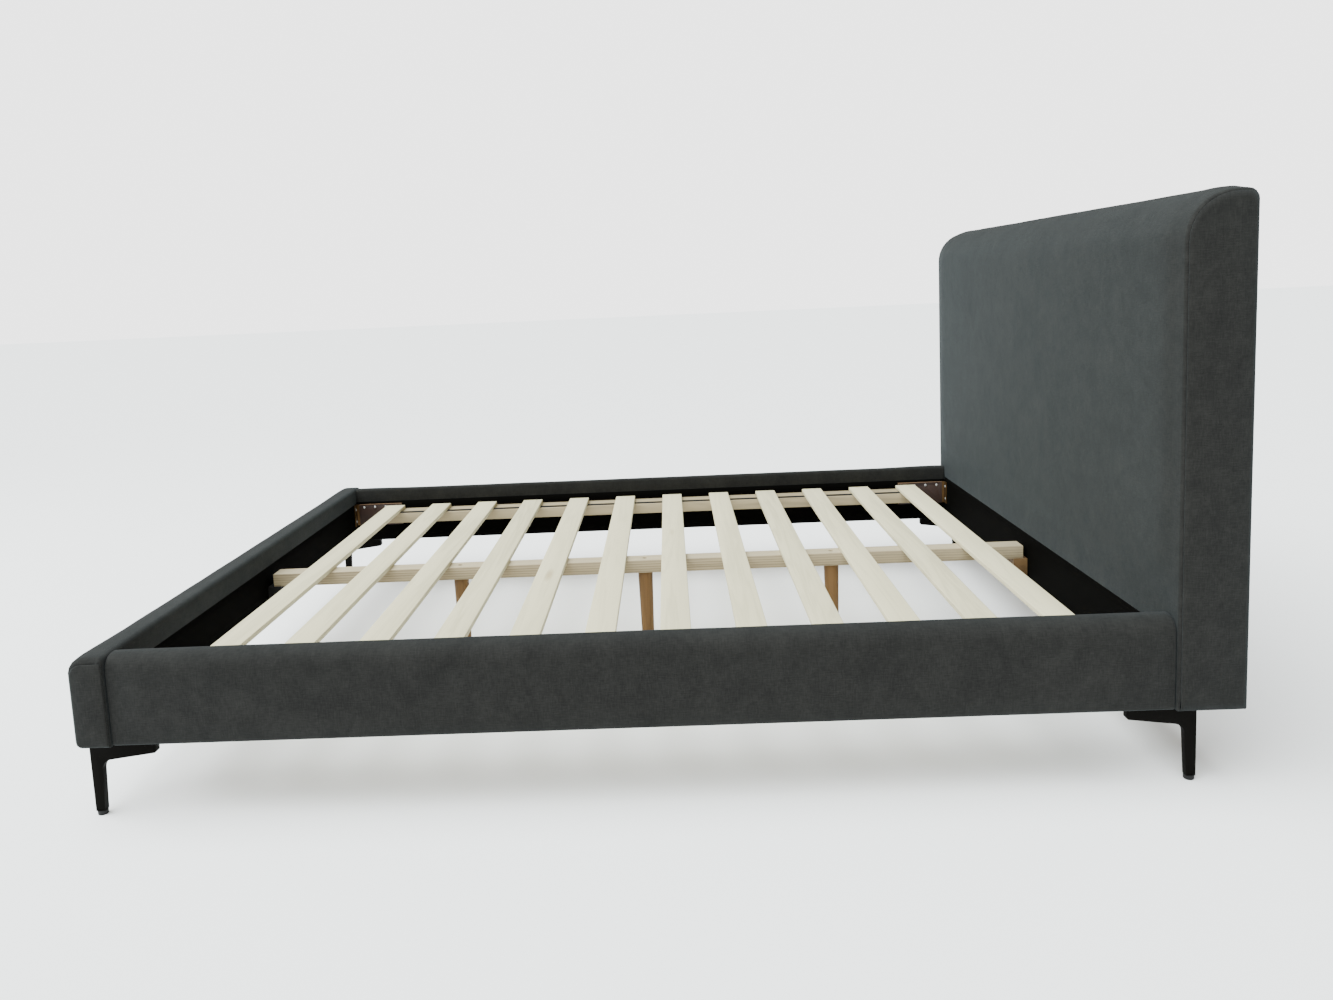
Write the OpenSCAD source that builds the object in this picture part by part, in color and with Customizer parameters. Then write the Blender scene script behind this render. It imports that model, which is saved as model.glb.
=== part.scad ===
// Upholstered slatted bed frame: padded headboard, footboard and side rails,
// a bed of loose slats on ledgers and a centre beam, and blade legs at the corners.
// Millimetres, +Z up, +Y towards the headboard, origin on the floor under the middle.

/* [Overall] */
// Clear width between the side rails
well_w = 1550; // [1450:10:1650]
// Clear length from the footboard to the headboard
well_l = 2065; // [2000:5:2150]
// Height of the underside of the upholstered boards
base_z = 152; // [146:1:180]
// Height of the top of the side rails and footboard
rail_top_z = 335; // [322:1:370]

/* [Headboard] */
// Thickness of the headboard
head_t = 132; // [110:1:150]
// How far the headboard stands proud of each side rail
head_proud = 12; // [2:1:20]
// Height of the top of the headboard
head_top_z = 1141; // [900:1:1300]
// Radius of the padded roll along the front top edge
head_roll_r = 95; // [60:1:100]

/* [Footboard] */
// Thickness of the footboard
foot_t = 70; // [60:1:90]
// How far the footboard stands proud of each side rail
foot_proud = 10; // [2:1:16]

/* [Side rails] */
// Thickness of a side rail
rail_t = 50; // [50:1:60]
// Thickness of the board in a side rail
rail_board_t = 36; // [30:1:36]

/* [Upholstery] */
// Thickness of the fabric cover and of the black lining
cloth_t = 2; // [1.5:0.5:3]
// Height at which the cover ends and the lining begins on the inner faces
lining_top_z = 290; // [280:1:300]

/* [Slats] */
// Number of slats
slat_count = 12; // [8:1:12]
// Width of a slat
slat_w = 66; // [50:1:80]
// Thickness of a slat
slat_t = 12; // [10:1:14]
// Distance between neighbouring slats, left edge to left edge
slat_pitch = 162; // [150:1:164]
// Distance from the footboard to the first slat
slat_start = 110; // [90:1:120]
// Height of the top of the slats
slat_top_z = 276; // [270:1:280]

/* [Ledgers and beam] */
// Width of a slat ledger
ledger_w = 84; // [40:1:90]
// Height of a slat ledger
ledger_h = 33; // [25:1:34]
// Width of the centre beam
beam_w = 52; // [40:1:70]
// Height of the centre beam
beam_h = 34; // [30:1:40]
// Distance between the centre legs
centre_leg_pitch = 508; // [450:1:560]

/* [Legs] */
// Length of a corner leg's top plate
leg_l = 134; // [124:1:150]
// Thickness of a corner leg's blade
leg_t = 15; // [14:1:20]
// Diameter of a corner leg's glide
glide_d = 20; // [18:1:24]
// Diameter of a centre leg at its top
centre_leg_d = 40; // [36:1:46]

/* [Hidden] */
$fn = 64;

FABRIC = "#3f4341";
LINING = "#151614";
FOAM = "#d9cf9c";
PALE_WOOD = "#d6d3c2";
BOARD_WOOD = "#b59c74";
LEG_WOOD = "#8c6e4b";
PLATE_BROWN = "#4a2a20";
YELLOW_ZINC = "#b08b45";
STEEL = "#9a9a98";
BLACK = "#141414";

LEFT = -1;
RIGHT = 1;
FOOT = -1;
HEAD = 1;

total_l = foot_t + well_l + head_t;
foot_out_y = -total_l / 2;
foot_in_y = foot_out_y + foot_t;
head_front_y = foot_in_y + well_l;
rail_in_x = well_w / 2;
rail_out_x = rail_in_x + rail_t;
head_w = 2 * (rail_out_x + head_proud);
foot_w = 2 * (rail_out_x + foot_proud);
rail_h = rail_top_z - base_z;
head_h = head_top_z - base_z;
lining_h = lining_top_z - base_z;
// The lining reaches higher up the headboard and less high up the footboard
head_lining_rise = 7;
foot_lining_drop = 6;
head_lining_h = lining_h + head_lining_rise;
foot_lining_h = lining_h - foot_lining_drop;

// Gap that shows as a seam between two upholstered boards
seam = 1;
rail_l = well_l - 2 * seam;

// Corner radii of the upholstered sections: the padded outer edge is the roundest
rail_roll_r = 28;
foot_roll_r = 28;
foot_hem_r = 14;
inner_r = 6;
hem_r = 8;
small_r = 3;
head_back_r = 12;

// Wadding between the ends of the boards and the cover
end_wad = 12;
rail_end_wad = 6;

// Headboard build, from the front backwards
head_foam_t = 30;
head_panel_t = 5;
head_core_y = cloth_t + head_foam_t;
head_core_top = head_h - 74;
head_rail_h = 138;
post_w = 60;
crossbar_h = 60;
back_rim = 40;

foot_board_t = 40;
// Boards of the rails and footboard end below the foam on their top edges
board_h = rail_h - 2 * cloth_t - 12;

slat_end_gap = 10;
slat_l = well_w - 2 * slat_end_gap;
slat_y0 = foot_in_y + slat_start;
slat_bed_l = slat_pitch * (slat_count - 1) + slat_w;
slat_z = slat_top_z - slat_t;
strap_t = 1.5;
strap_w = 20;
strap_setback = 5;
ledger_top_z = slat_z - strap_t;

beam_end_gap_foot = 16;
beam_end_gap_head = 10;
beam_y0 = foot_in_y + beam_end_gap_foot;
beam_l = well_l - beam_end_gap_foot - beam_end_gap_head;
beam_z = slat_z - beam_h;
beam_mid_y = beam_y0 + beam_l / 2;
block_d = 36;
block_w = 60;
block_h = 48;

plate_l = 150;
plate_t = 7;
plate_z0 = 208;
plate_z1 = 282;
bracket_t = 3;
bracket_rail_leg = 12;
bracket_end_leg = 26;

plate_screw_z = 272;
plate_screw_x = [18, 56, 94, 132];
screw_head_r = 4;
screw_head_h = 2;
screw_r = 2;
screw_l = 26;

leg_x = rail_in_x + 20;
leg_inset_foot = 10;
leg_out_head = 51;
leg_plate_w = 40;
leg_plate_t = 4;
leg_tip_w = 18;
leg_screw_x = 13;
leg_screw_y = [30, 120];
leg_screw_r = 2.5;
leg_screw_head_r = 4.5;
leg_screw_head_h = 2.5;
leg_screw_l = 34;

glide_h = 9;
glide_lip_r = 2;
stud_r = 4;
stud_l = 26;
stud_clear = 0.3;
hole_l = stud_l + 2;
glide_x = leg_tip_w / 2 + 0.5;
centre_glide_d = 30;
centre_leg_tip_d = 32;
bolt_r = 4;
bolt_head_r = 6.5;
bolt_head_h = 5;
bolt_recess = 8;
bolt_in_leg = 35;

// ---- helpers ----

// Mirrors children to the left side of the bed
module on_side(side) {
    mirror([side == LEFT ? 1 : 0, 0, 0]) children();
}

// Extrudes a section drawn in X and Z along +Y
module along_y(y0, l) {
    translate([0, y0 + l, 0]) rotate([90, 0, 0]) linear_extrude(l) children();
}

// Extrudes a section drawn in Y and Z along +X
module along_x(x0, l) {
    translate([x0, 0, 0]) rotate([90, 0, 90]) linear_extrude(l) children();
}

module corner_cut(r) {
    difference() {
        square(r);
        translate([r, r]) circle(r);
    }
}

// Rectangle with its own radius at each corner
module rounded_rect(w, h, low_left, low_right, top_left, top_right) {
    difference() {
        square([w, h]);
        corner_cut(low_left);
        translate([w, 0]) rotate(90) corner_cut(low_right);
        translate([w, h]) rotate(180) corner_cut(top_right);
        translate([0, h]) rotate(270) corner_cut(top_left);
    }
}

// Section of a side rail, X outwards from its inner face, Z up from its underside
module rail_section(inset) {
    translate([inset, inset])
        rounded_rect(rail_t - 2 * inset, rail_h - 2 * inset,
            small_r - inset, hem_r - inset, inner_r - inset, rail_roll_r - inset);
}

// Section of the footboard, from its outer face inwards
module foot_section(inset) {
    translate([inset, inset])
        rounded_rect(foot_t - 2 * inset, rail_h - 2 * inset,
            foot_hem_r - inset, small_r - inset, foot_roll_r - inset, inner_r - inset);
}

// Section of the headboard, from its front face backwards
module head_section(inset) {
    translate([inset, inset])
        rounded_rect(head_t - 2 * inset, head_h - 2 * inset,
            small_r - inset, small_r - inset, head_roll_r - inset, head_back_r - inset);
}

module rail_board_section() {
    intersection() {
        rail_section(cloth_t);
        translate([cloth_t, cloth_t]) square([rail_board_t, board_h]);
    }
}

module foot_board_section() {
    intersection() {
        foot_section(cloth_t);
        translate([foot_t - cloth_t - foot_board_t, cloth_t]) square([foot_board_t, board_h]);
    }
}

module head_core_section() {
    intersection() {
        head_section(cloth_t);
        union() {
            translate([cloth_t, cloth_t]) square([head_foam_t, head_rail_h]);
            translate([head_core_y, cloth_t])
                square([head_t - cloth_t - head_core_y, head_core_top]);
        }
    }
}

// Places a rail section in the row frame
module rail_place(side) {
    on_side(side) translate([rail_in_x, 0, base_z]) children();
}

module foot_place() {
    translate([0, foot_out_y, base_z]) children();
}

module head_place() {
    translate([0, head_front_y, base_z]) children();
}

// ---- fasteners ----

// Pan-head wood screw: its head stands on Z = 0 and its shank runs down
module wood_screw() {
    cylinder(h = screw_head_h, r = screw_head_r);
    translate([0, 0, -screw_l]) cylinder(h = screw_l, r = screw_r);
}

module plate_screws(side, end) {
    on_side(side)
        for (d = plate_screw_x)
            translate([rail_in_x - plate_t, plate_y(end) + (end == FOOT ? d : plate_l - d), plate_screw_z])
                rotate([0, -90, 0]) wood_screw();
}

module bracket_screws(side, end) {
    on_side(side)
        for (z = [plate_z0 + 16, plate_z1 - 16])
            translate([rail_in_x - bracket_end_leg / 2 - 2, end_face_y(end) - end * bracket_t, z])
                rotate([end == HEAD ? 90 : -90, 0, 0]) wood_screw();
}

module block_screws(end) {
    for (x = [-block_w / 4, block_w / 4])
        translate([x, end_face_y(end) - end * (block_d - 20), beam_z - block_h / 2])
            rotate([end == HEAD ? 90 : -90, 0, 0]) {
                cylinder(h = screw_head_h, r = screw_head_r);
                translate([0, 0, -screw_l - 10]) cylinder(h = screw_l + 10, r = screw_r);
            }
}

module all_wood_screws() {
    for (end = [FOOT, HEAD]) {
        for (side = [LEFT, RIGHT]) {
            plate_screws(side, end);
            bracket_screws(side, end);
        }
        block_screws(end);
    }
}

module leg_screws_at(side, end) {
    leg_place(side, end)
        for (x = [-leg_screw_x, leg_screw_x], y = leg_screw_y)
            translate([x, y, base_z - leg_plate_t - leg_screw_head_h]) {
                cylinder(h = leg_screw_head_h, r = leg_screw_head_r);
                cylinder(h = leg_screw_l, r = leg_screw_r);
            }
}

module all_leg_screws() {
    for (side = [LEFT, RIGHT], end = [FOOT, HEAD]) leg_screws_at(side, end);
}

// Bolt from a sunk head in the beam down into a centre leg
module centre_bolt(i) {
    translate([0, centre_leg_y(i), slat_z - bolt_recess - bolt_head_h]) {
        cylinder(h = bolt_head_h, r = bolt_head_r);
        translate([0, 0, -(beam_h - bolt_recess - bolt_head_h) - bolt_in_leg])
            cylinder(h = beam_h - bolt_recess - bolt_head_h + bolt_in_leg, r = bolt_r);
    }
}

function end_face_y(end) = end == HEAD ? head_front_y : foot_in_y;
function plate_y(end) =
    end == HEAD ? head_front_y - bracket_rail_leg - plate_l : foot_in_y + bracket_rail_leg;
function centre_leg_y(i) = beam_mid_y + i * centre_leg_pitch;

// ---- headboard ----

module headboard_frame() {
    core_w = head_w - 2 * cloth_t - 2 * end_wad;
    depth = head_t - 2 * cloth_t - head_foam_t - head_panel_t;
    top = head_core_top + cloth_t;
    color(BOARD_WOOD)
        difference() {
            head_place()
                intersection() {
                    along_x(-core_w / 2, core_w) head_section(cloth_t);
                    union() {
                        for (x = [-core_w / 2, core_w / 2 - post_w])
                            translate([x, head_core_y + head_panel_t, cloth_t])
                                cube([post_w, depth, head_core_top]);
                        for (z = [cloth_t, top / 2 - crossbar_h / 2, top - crossbar_h])
                            translate([-core_w / 2, head_core_y + head_panel_t, z])
                                cube([core_w, depth, crossbar_h]);
                        translate([-core_w / 2, cloth_t, cloth_t]) cube([core_w, head_foam_t, head_rail_h]);
                    }
                }
            all_wood_screws();
            all_leg_screws();
        }
}

module headboard_panel() {
    color(BOARD_WOOD)
        difference() {
            head_place()
                translate([-head_w / 2 + cloth_t + end_wad, head_core_y, cloth_t])
                    cube([head_w - 2 * cloth_t - 2 * end_wad, head_panel_t, head_core_top]);
            all_wood_screws();
            all_leg_screws();
        }
}

module headboard_foam() {
    color(FOAM)
        head_place()
            difference() {
                along_x(-head_w / 2 + cloth_t, head_w - 2 * cloth_t) head_section(cloth_t);
                along_x(-head_w / 2 + cloth_t + end_wad, head_w - 2 * cloth_t - 2 * end_wad)
                    head_core_section();
            }
}

module headboard_cover() {
    color(FABRIC)
        difference() {
            head_place()
                difference() {
                    along_x(-head_w / 2 + cloth_t, head_w - 2 * cloth_t)
                        difference() {
                            head_section(0);
                            head_section(cloth_t);
                        }
                    translate([-rail_in_x, -1, cloth_t])
                        cube([well_w, cloth_t + 1, head_lining_h - cloth_t]);
                    translate([-head_w / 2 + back_rim, head_t - cloth_t, back_rim])
                        cube([head_w - 2 * back_rim, cloth_t + 1, head_h - 2 * back_rim]);
                }
            all_leg_screws();
        }
}

module headboard_side(side) {
    color(FABRIC)
        on_side(side)
            head_place() along_x(head_w / 2 - cloth_t, cloth_t) head_section(0);
}

module headboard_back_cloth() {
    color(LINING)
        head_place()
            translate([-head_w / 2 + back_rim, head_t - cloth_t, back_rim])
                cube([head_w - 2 * back_rim, cloth_t, head_h - 2 * back_rim]);
}

module headboard_lining() {
    color(LINING)
        difference() {
            head_place()
                translate([-rail_in_x, 0, cloth_t]) cube([well_w, cloth_t, head_lining_h - cloth_t]);
            all_wood_screws();
        }
}

// ---- footboard ----

module foot_board() {
    along_x(-foot_w / 2 + cloth_t + end_wad, foot_w - 2 * cloth_t - 2 * end_wad) foot_board_section();
}

module footboard_board() {
    color(BOARD_WOOD)
        difference() {
            foot_place() foot_board();
            all_wood_screws();
            all_leg_screws();
        }
}

module footboard_foam() {
    color(FOAM)
        foot_place()
            difference() {
                along_x(-foot_w / 2 + cloth_t, foot_w - 2 * cloth_t) foot_section(cloth_t);
                foot_board();
            }
}

module footboard_cover() {
    color(FABRIC)
        difference() {
            foot_place()
                difference() {
                    along_x(-foot_w / 2 + cloth_t, foot_w - 2 * cloth_t)
                        difference() {
                            foot_section(0);
                            foot_section(cloth_t);
                        }
                    translate([-rail_in_x, foot_t - cloth_t, cloth_t])
                        cube([well_w, cloth_t + 1, foot_lining_h - cloth_t]);
                }
            all_leg_screws();
        }
}

module footboard_end(side) {
    color(FABRIC)
        on_side(side)
            foot_place() along_x(foot_w / 2 - cloth_t, cloth_t) foot_section(0);
}

module footboard_lining() {
    color(LINING)
        difference() {
            foot_place()
                translate([-rail_in_x, foot_t - cloth_t, cloth_t])
                    cube([well_w, cloth_t, foot_lining_h - cloth_t]);
            all_wood_screws();
        }
}

// ---- side rails ----

module rail_board() {
    along_y(foot_in_y + seam + rail_end_wad, rail_l - 2 * rail_end_wad) rail_board_section();
}

module side_rail_board(side) {
    color(BOARD_WOOD)
        difference() {
            rail_place(side) rail_board();
            all_wood_screws();
            all_leg_screws();
        }
}

module side_rail_foam(side) {
    color(FOAM)
        rail_place(side)
            difference() {
                along_y(foot_in_y + seam, rail_l) rail_section(cloth_t);
                rail_board();
            }
}

module side_rail_cover(side) {
    color(FABRIC)
        difference() {
            rail_place(side)
                along_y(foot_in_y + seam, rail_l)
                    difference() {
                        rail_section(0);
                        rail_section(cloth_t);
                        translate([-1, cloth_t]) square([cloth_t + 1, lining_h - cloth_t]);
                    }
            all_leg_screws();
        }
}

module side_rail_lining(side) {
    color(LINING)
        difference() {
            rail_place(side)
                along_y(foot_in_y + seam, rail_l)
                    translate([0, cloth_t]) square([cloth_t, lining_h - cloth_t]);
            all_wood_screws();
        }
}

// ---- slats and what carries them ----

module slat_ledger(side) {
    color(PALE_WOOD)
        on_side(side)
            difference() {
                translate([rail_in_x - ledger_w, slat_y0, ledger_top_z - ledger_h])
                    cube([ledger_w, slat_bed_l, ledger_h]);
                for (end = [FOOT, HEAD])
                    translate([rail_in_x - plate_t, plate_y(end), plate_z0])
                        cube([plate_t + 1, plate_l, plate_z1 - plate_z0]);
            }
}

module slat_straps() {
    color(BLACK)
        for (side = [LEFT, RIGHT])
            on_side(side)
                translate([rail_in_x - ledger_w + strap_setback, slat_y0, ledger_top_z])
                    cube([strap_w, slat_bed_l, strap_t]);
}

module slat(number) {
    color(PALE_WOOD)
        translate([-slat_l / 2, slat_y0 + slat_pitch * (number - 1), slat_z])
            cube([slat_l, slat_w, slat_t]);
}

module centre_beam() {
    color(PALE_WOOD)
        difference() {
            translate([-beam_w / 2, beam_y0, beam_z]) cube([beam_w, beam_l, beam_h]);
            for (i = [-1:1]) {
                centre_bolt(i);
                translate([0, centre_leg_y(i), slat_z - bolt_recess])
                    cylinder(h = bolt_recess + 1, r = bolt_head_r);
            }
        }
}

module beam_blocks() {
    color(LEG_WOOD)
        difference() {
            for (end = [FOOT, HEAD])
                translate([-block_w / 2, end == HEAD ? head_front_y - block_d : foot_in_y, beam_z - block_h])
                    cube([block_w, block_d, block_h]);
            for (end = [FOOT, HEAD]) {
                block_screws(end);
                for (x = [-block_w / 4, block_w / 4])
                    translate([x, end_face_y(end) - end * (block_d - 20), beam_z - block_h / 2])
                        rotate([end == HEAD ? 90 : -90, 0, 0]) cylinder(h = block_d, r = screw_head_r);
            }
        }
}

module centre_leg(i) {
    color(LEG_WOOD)
        difference() {
            translate([0, centre_leg_y(i), glide_h])
                cylinder(h = beam_z - glide_h, r1 = centre_leg_tip_d / 2, r2 = centre_leg_d / 2);
            centre_bolt(i);
            translate([0, centre_leg_y(i), glide_h - 1])
                cylinder(h = hole_l + 1, r = stud_r + stud_clear);
        }
}

// ---- corner hardware ----

module corner_plates() {
    color(PLATE_BROWN)
        difference() {
            for (side = [LEFT, RIGHT], end = [FOOT, HEAD])
                on_side(side)
                    translate([rail_in_x - plate_t, plate_y(end), plate_z0])
                        cube([plate_t, plate_l, plate_z1 - plate_z0]);
            all_wood_screws();
        }
}

module corner_brackets() {
    color(YELLOW_ZINC)
        difference() {
            for (side = [LEFT, RIGHT], end = [FOOT, HEAD])
                on_side(side) corner_bracket(end);
            all_wood_screws();
        }
}

// Steel angle in the corner between the right rail and one end board
module corner_bracket(end) {
    translate([rail_in_x, end_face_y(end), plate_z0])
        mirror([0, end == HEAD ? 1 : 0, 0]) {
            translate([-bracket_end_leg, 0, 0]) cube([bracket_end_leg, bracket_t, plate_z1 - plate_z0]);
            translate([-bracket_t, 0, 0]) cube([bracket_t, bracket_rail_leg, plate_z1 - plate_z0]);
        }
}

// ---- corner legs ----

// Frame of a corner leg: X across the blade, Y inwards along the rail from its outer edge
module leg_place(side, end) {
    on_side(side)
        translate([leg_x, end == HEAD ? head_front_y + leg_out_head : foot_out_y + leg_inset_foot, 0])
            mirror([0, end == HEAD ? 1 : 0, 0]) children();
}

// Inner edge of the blade: a slender post that sweeps round into the wing under the rail
sweep_r = 22;
sweep_steps = 10;
wing_end_z = base_z - 25;
wing_slope = 7;
post_lean = 3;
sweep_c = [leg_tip_w + post_lean + 1 + sweep_r, base_z - 36 - sweep_r];
function sweep_point(a) = sweep_c + sweep_r * [cos(a), sin(a)];
function blade_outline() = concat(
    [[0, glide_h], [leg_tip_w, glide_h]],
    [for (k = [0:sweep_steps]) sweep_point(180 - post_lean - k * (90 - wing_slope - post_lean) / sweep_steps)],
    [[leg_l - 3, wing_end_z], [leg_l, wing_end_z + 3], [leg_l, base_z - leg_plate_t], [0, base_z - leg_plate_t]]
);

module leg(side, end) {
    color(BLACK)
        difference() {
            leg_place(side, end)
                difference() {
                    union() {
                        translate([-leg_t / 2, 0, 0]) along_x(0, leg_t) polygon(blade_outline());
                        translate([-leg_plate_w / 2, 0, base_z - leg_plate_t])
                            cube([leg_plate_w, leg_l, leg_plate_t]);
                    }
                    translate([0, glide_x, glide_h - 1]) cylinder(h = hole_l + 1, r = stud_r + stud_clear);
                }
            leg_screws_at(side, end);
        }
}

// ---- levelling glides ----

// Moulded foot with a rounded lower rim on a threaded stud
module glide(d) {
    rotate_extrude()
        rounded_foot(d / 2);
    translate([0, 0, glide_h]) cylinder(h = stud_l, r = stud_r);
}

module rounded_foot(r) {
    difference() {
        square([r, glide_h]);
        translate([r, 0]) rotate(90) corner_cut(glide_lip_r);
    }
}

module corner_glide(side, end) {
    color(BLACK) leg_place(side, end) translate([0, glide_x, 0]) glide(glide_d);
}

module centre_glide(i) {
    color(BLACK) translate([0, centre_leg_y(i), 0]) glide(centre_glide_d);
}

headboard_frame();
headboard_panel();
headboard_foam();
headboard_cover();
headboard_side(LEFT);  // headboard_side_left
headboard_side(RIGHT);  // headboard_side_right
headboard_back_cloth();
headboard_lining();
footboard_board();
footboard_foam();
footboard_cover();
footboard_end(LEFT);  // footboard_end_left
footboard_end(RIGHT);  // footboard_end_right
footboard_lining();
side_rail_board(LEFT);  // side_rail_board_left
side_rail_board(RIGHT);  // side_rail_board_right
side_rail_foam(LEFT);  // side_rail_foam_left
side_rail_foam(RIGHT);  // side_rail_foam_right
side_rail_cover(LEFT);  // side_rail_cover_left
side_rail_cover(RIGHT);  // side_rail_cover_right
side_rail_lining(LEFT);  // side_rail_lining_left
side_rail_lining(RIGHT);  // side_rail_lining_right
slat_ledger(LEFT);  // slat_ledger_left
slat_ledger(RIGHT);  // slat_ledger_right
slat_straps();
slat(1);  // slat_01
slat(2);  // slat_02
slat(3);  // slat_03
slat(4);  // slat_04
slat(5);  // slat_05
slat(6);  // slat_06
slat(7);  // slat_07
slat(8);  // slat_08
slat(9);  // slat_09
slat(10);  // slat_10
slat(11);  // slat_11
slat(12);  // slat_12
centre_beam();
beam_blocks();
centre_leg(-1);  // centre_leg_foot
centre_leg(0);  // centre_leg_middle
centre_leg(1);  // centre_leg_head
color(STEEL) for (i = [-1:1]) centre_bolt(i);  // centre_leg_bolts
centre_glide(-1);  // centre_glide_foot
centre_glide(0);  // centre_glide_middle
centre_glide(1);  // centre_glide_head
corner_plates();
corner_brackets();
color(STEEL) all_wood_screws();  // wood_screws
leg(LEFT, FOOT);  // leg_foot_left
leg(RIGHT, FOOT);  // leg_foot_right
leg(LEFT, HEAD);  // leg_head_left
leg(RIGHT, HEAD);  // leg_head_right
color(STEEL) all_leg_screws();  // leg_screws
corner_glide(LEFT, FOOT);  // glide_foot_left
corner_glide(RIGHT, FOOT);  // glide_foot_right
corner_glide(LEFT, HEAD);  // glide_head_left
corner_glide(RIGHT, HEAD);  // glide_head_right
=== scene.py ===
"""Upholstered slatted bed: the cloth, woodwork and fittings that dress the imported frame."""

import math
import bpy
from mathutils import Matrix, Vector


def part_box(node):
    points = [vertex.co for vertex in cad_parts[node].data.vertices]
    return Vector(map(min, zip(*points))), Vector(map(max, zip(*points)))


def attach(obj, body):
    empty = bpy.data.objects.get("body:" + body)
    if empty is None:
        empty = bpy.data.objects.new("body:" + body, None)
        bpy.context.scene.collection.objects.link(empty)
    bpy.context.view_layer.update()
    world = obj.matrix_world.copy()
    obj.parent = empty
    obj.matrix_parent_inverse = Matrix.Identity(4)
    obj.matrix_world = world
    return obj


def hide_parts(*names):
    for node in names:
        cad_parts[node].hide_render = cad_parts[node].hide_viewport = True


bl_info = {
    "name": "Slatted Bed",
    "version": (1, 0, 0),
    "blender": (4, 5, 0),
    "location": "View3D > Sidebar > Bed",
    "description": "Dresses a slatted bed frame with padded velvet, woodwork and fittings",
    "category": "Add Mesh",
}

import bmesh
import bpy
import numpy as np
from bpy.props import FloatProperty, FloatVectorProperty, PointerProperty
from bpy.types import Operator, Panel, PropertyGroup
from mathutils import Matrix, Vector, noise

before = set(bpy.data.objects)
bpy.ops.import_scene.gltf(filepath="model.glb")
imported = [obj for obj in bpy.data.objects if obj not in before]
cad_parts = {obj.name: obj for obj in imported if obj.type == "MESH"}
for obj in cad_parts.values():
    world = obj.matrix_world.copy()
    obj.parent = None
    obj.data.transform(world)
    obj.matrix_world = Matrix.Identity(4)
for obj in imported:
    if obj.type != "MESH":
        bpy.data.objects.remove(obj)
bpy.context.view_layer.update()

FRAME_BODY = "frame"
SIDES = {"left": -1, "right": 1}
SETTLE_FRAMES = 20
SMOOTHINGS = 16
SWELL = 2.0
SHARP_ANGLE = 35
MERGE = 1e-5
SLATS = sorted(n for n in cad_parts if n.startswith("slat_") and n[5:].isdigit())


def colour_property(name, description, default):
    return FloatVectorProperty(
        name=name, description=description, default=default, size=3, min=0, max=1, subtype="COLOR"
    )


def length_property(name, description, default, low=0.0, high=10.0):
    return FloatProperty(
        name=name, description=description, default=default, min=low, max=high, unit="LENGTH"
    )


class BedUpholstery(PropertyGroup):
    """Sizes and colours of the padded velvet and the black linings."""

    velvet: colour_property("Velvet", "Colour of the pile", (0.0130, 0.0127, 0.0115))
    velvet_bloom: colour_property("Bloom colour", "Colour of the pile's bloom", (0.60, 0.77, 0.84))
    bloom: FloatProperty(
        name="Bloom", description="How much the pile lights up where it lies over",
        default=0.065, min=0, max=1,
    )
    lining: colour_property("Lining", "Colour of the lining", (0.0014, 0.0013, 0.0010))
    dust_cloth: colour_property("Dust cloth", "Colour of the cloth on the back", (0.0075, 0.0075, 0.0072))
    cell: length_property("Cell", "Size of a mesh cell on the padded pieces", 0.015, 0.008, 0.04)
    head_roll: length_property("Head roll", "Radius of the roll along the headboard's top", 0.092)
    head_crown: length_property("Head crown", "Rise of the headboard's top over its gussets", 0.009)
    face_puff: length_property("Face puff", "Rise of the padding on the upright faces", 0.003)
    head_back: length_property("Head back", "Radius of the headboard's back top edge", 0.020)
    foot_roll: length_property("Foot roll", "Radius of the footboard's top outer edge", 0.028)
    foot_hem: length_property("Foot hem", "Radius of the footboard's bottom outer edge", 0.014)
    rail_roll: length_property("Rail roll", "Radius of a rail's top outer edge", 0.029)
    rail_hem: length_property("Rail hem", "Radius of a rail's bottom outer edge", 0.009)
    inner: length_property("Inner edge", "Radius of the inner top edges", 0.010)
    hem: length_property("Hem", "Radius of the edges that are only folded cloth", 0.003)
    seam: length_property("Seam", "Radius to which cloth rolls into a sewn seam", 0.006)
    end_seam: length_property("End seam", "How far the footboard's top folds down over its ends", 0.006)
    gusset_puff: length_property("Gusset puff", "Rise of the middle of a sewn end panel", 0.004)
    lining_cloth: length_property("Lining cloth", "Thickness of the lining", 0.0012)


class BedWoodwork(PropertyGroup):
    """Sizes and colours of the slats, ledgers, beam and centre legs."""

    slat: colour_property("Slat", "Colour of the planed slats", (0.545, 0.500, 0.325))
    ledger: colour_property("Ledger", "Colour of the ledgers and beam", (0.30, 0.245, 0.148))
    leg: colour_property("Centre leg", "Colour of the turned legs", (0.132, 0.070, 0.023))
    plate: colour_property("Plate", "Colour of the film on the corner plates", (0.024, 0.009, 0.005))
    slat_edge: length_property("Slat edge", "Radius of a slat's long edges", 0.0018, 0.0005, 0.005)
    saw_edge: length_property("Sawn edge", "Width of the worn edge on sawn wood", 0.001, 0.0002, 0.004)
    slat_bow: length_property("Slat bow", "How far a slat may be out of straight", 0.0012, 0, 0.004)


class BedMetalwork(PropertyGroup):
    """Sizes and colours of the corner legs, brackets, screws and staples."""

    powder: colour_property("Powder coat", "Colour of the corner legs", (0.0022, 0.0019, 0.0014))
    zinc: colour_property("Yellow zinc", "Colour of the brackets", (0.10, 0.056, 0.021))
    steel: colour_property("Steel", "Colour of the screws", (0.60, 0.60, 0.58))
    glide: colour_property("Glide", "Colour of the moulded glides", (0.008, 0.008, 0.008))
    leg_edge: length_property("Leg edge", "Radius of a corner leg's edges", 0.0016, 0.0005, 0.006)
    staple_pitch: length_property("Staple pitch", "Distance between staples", 0.045, 0.02, 0.1)


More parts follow.
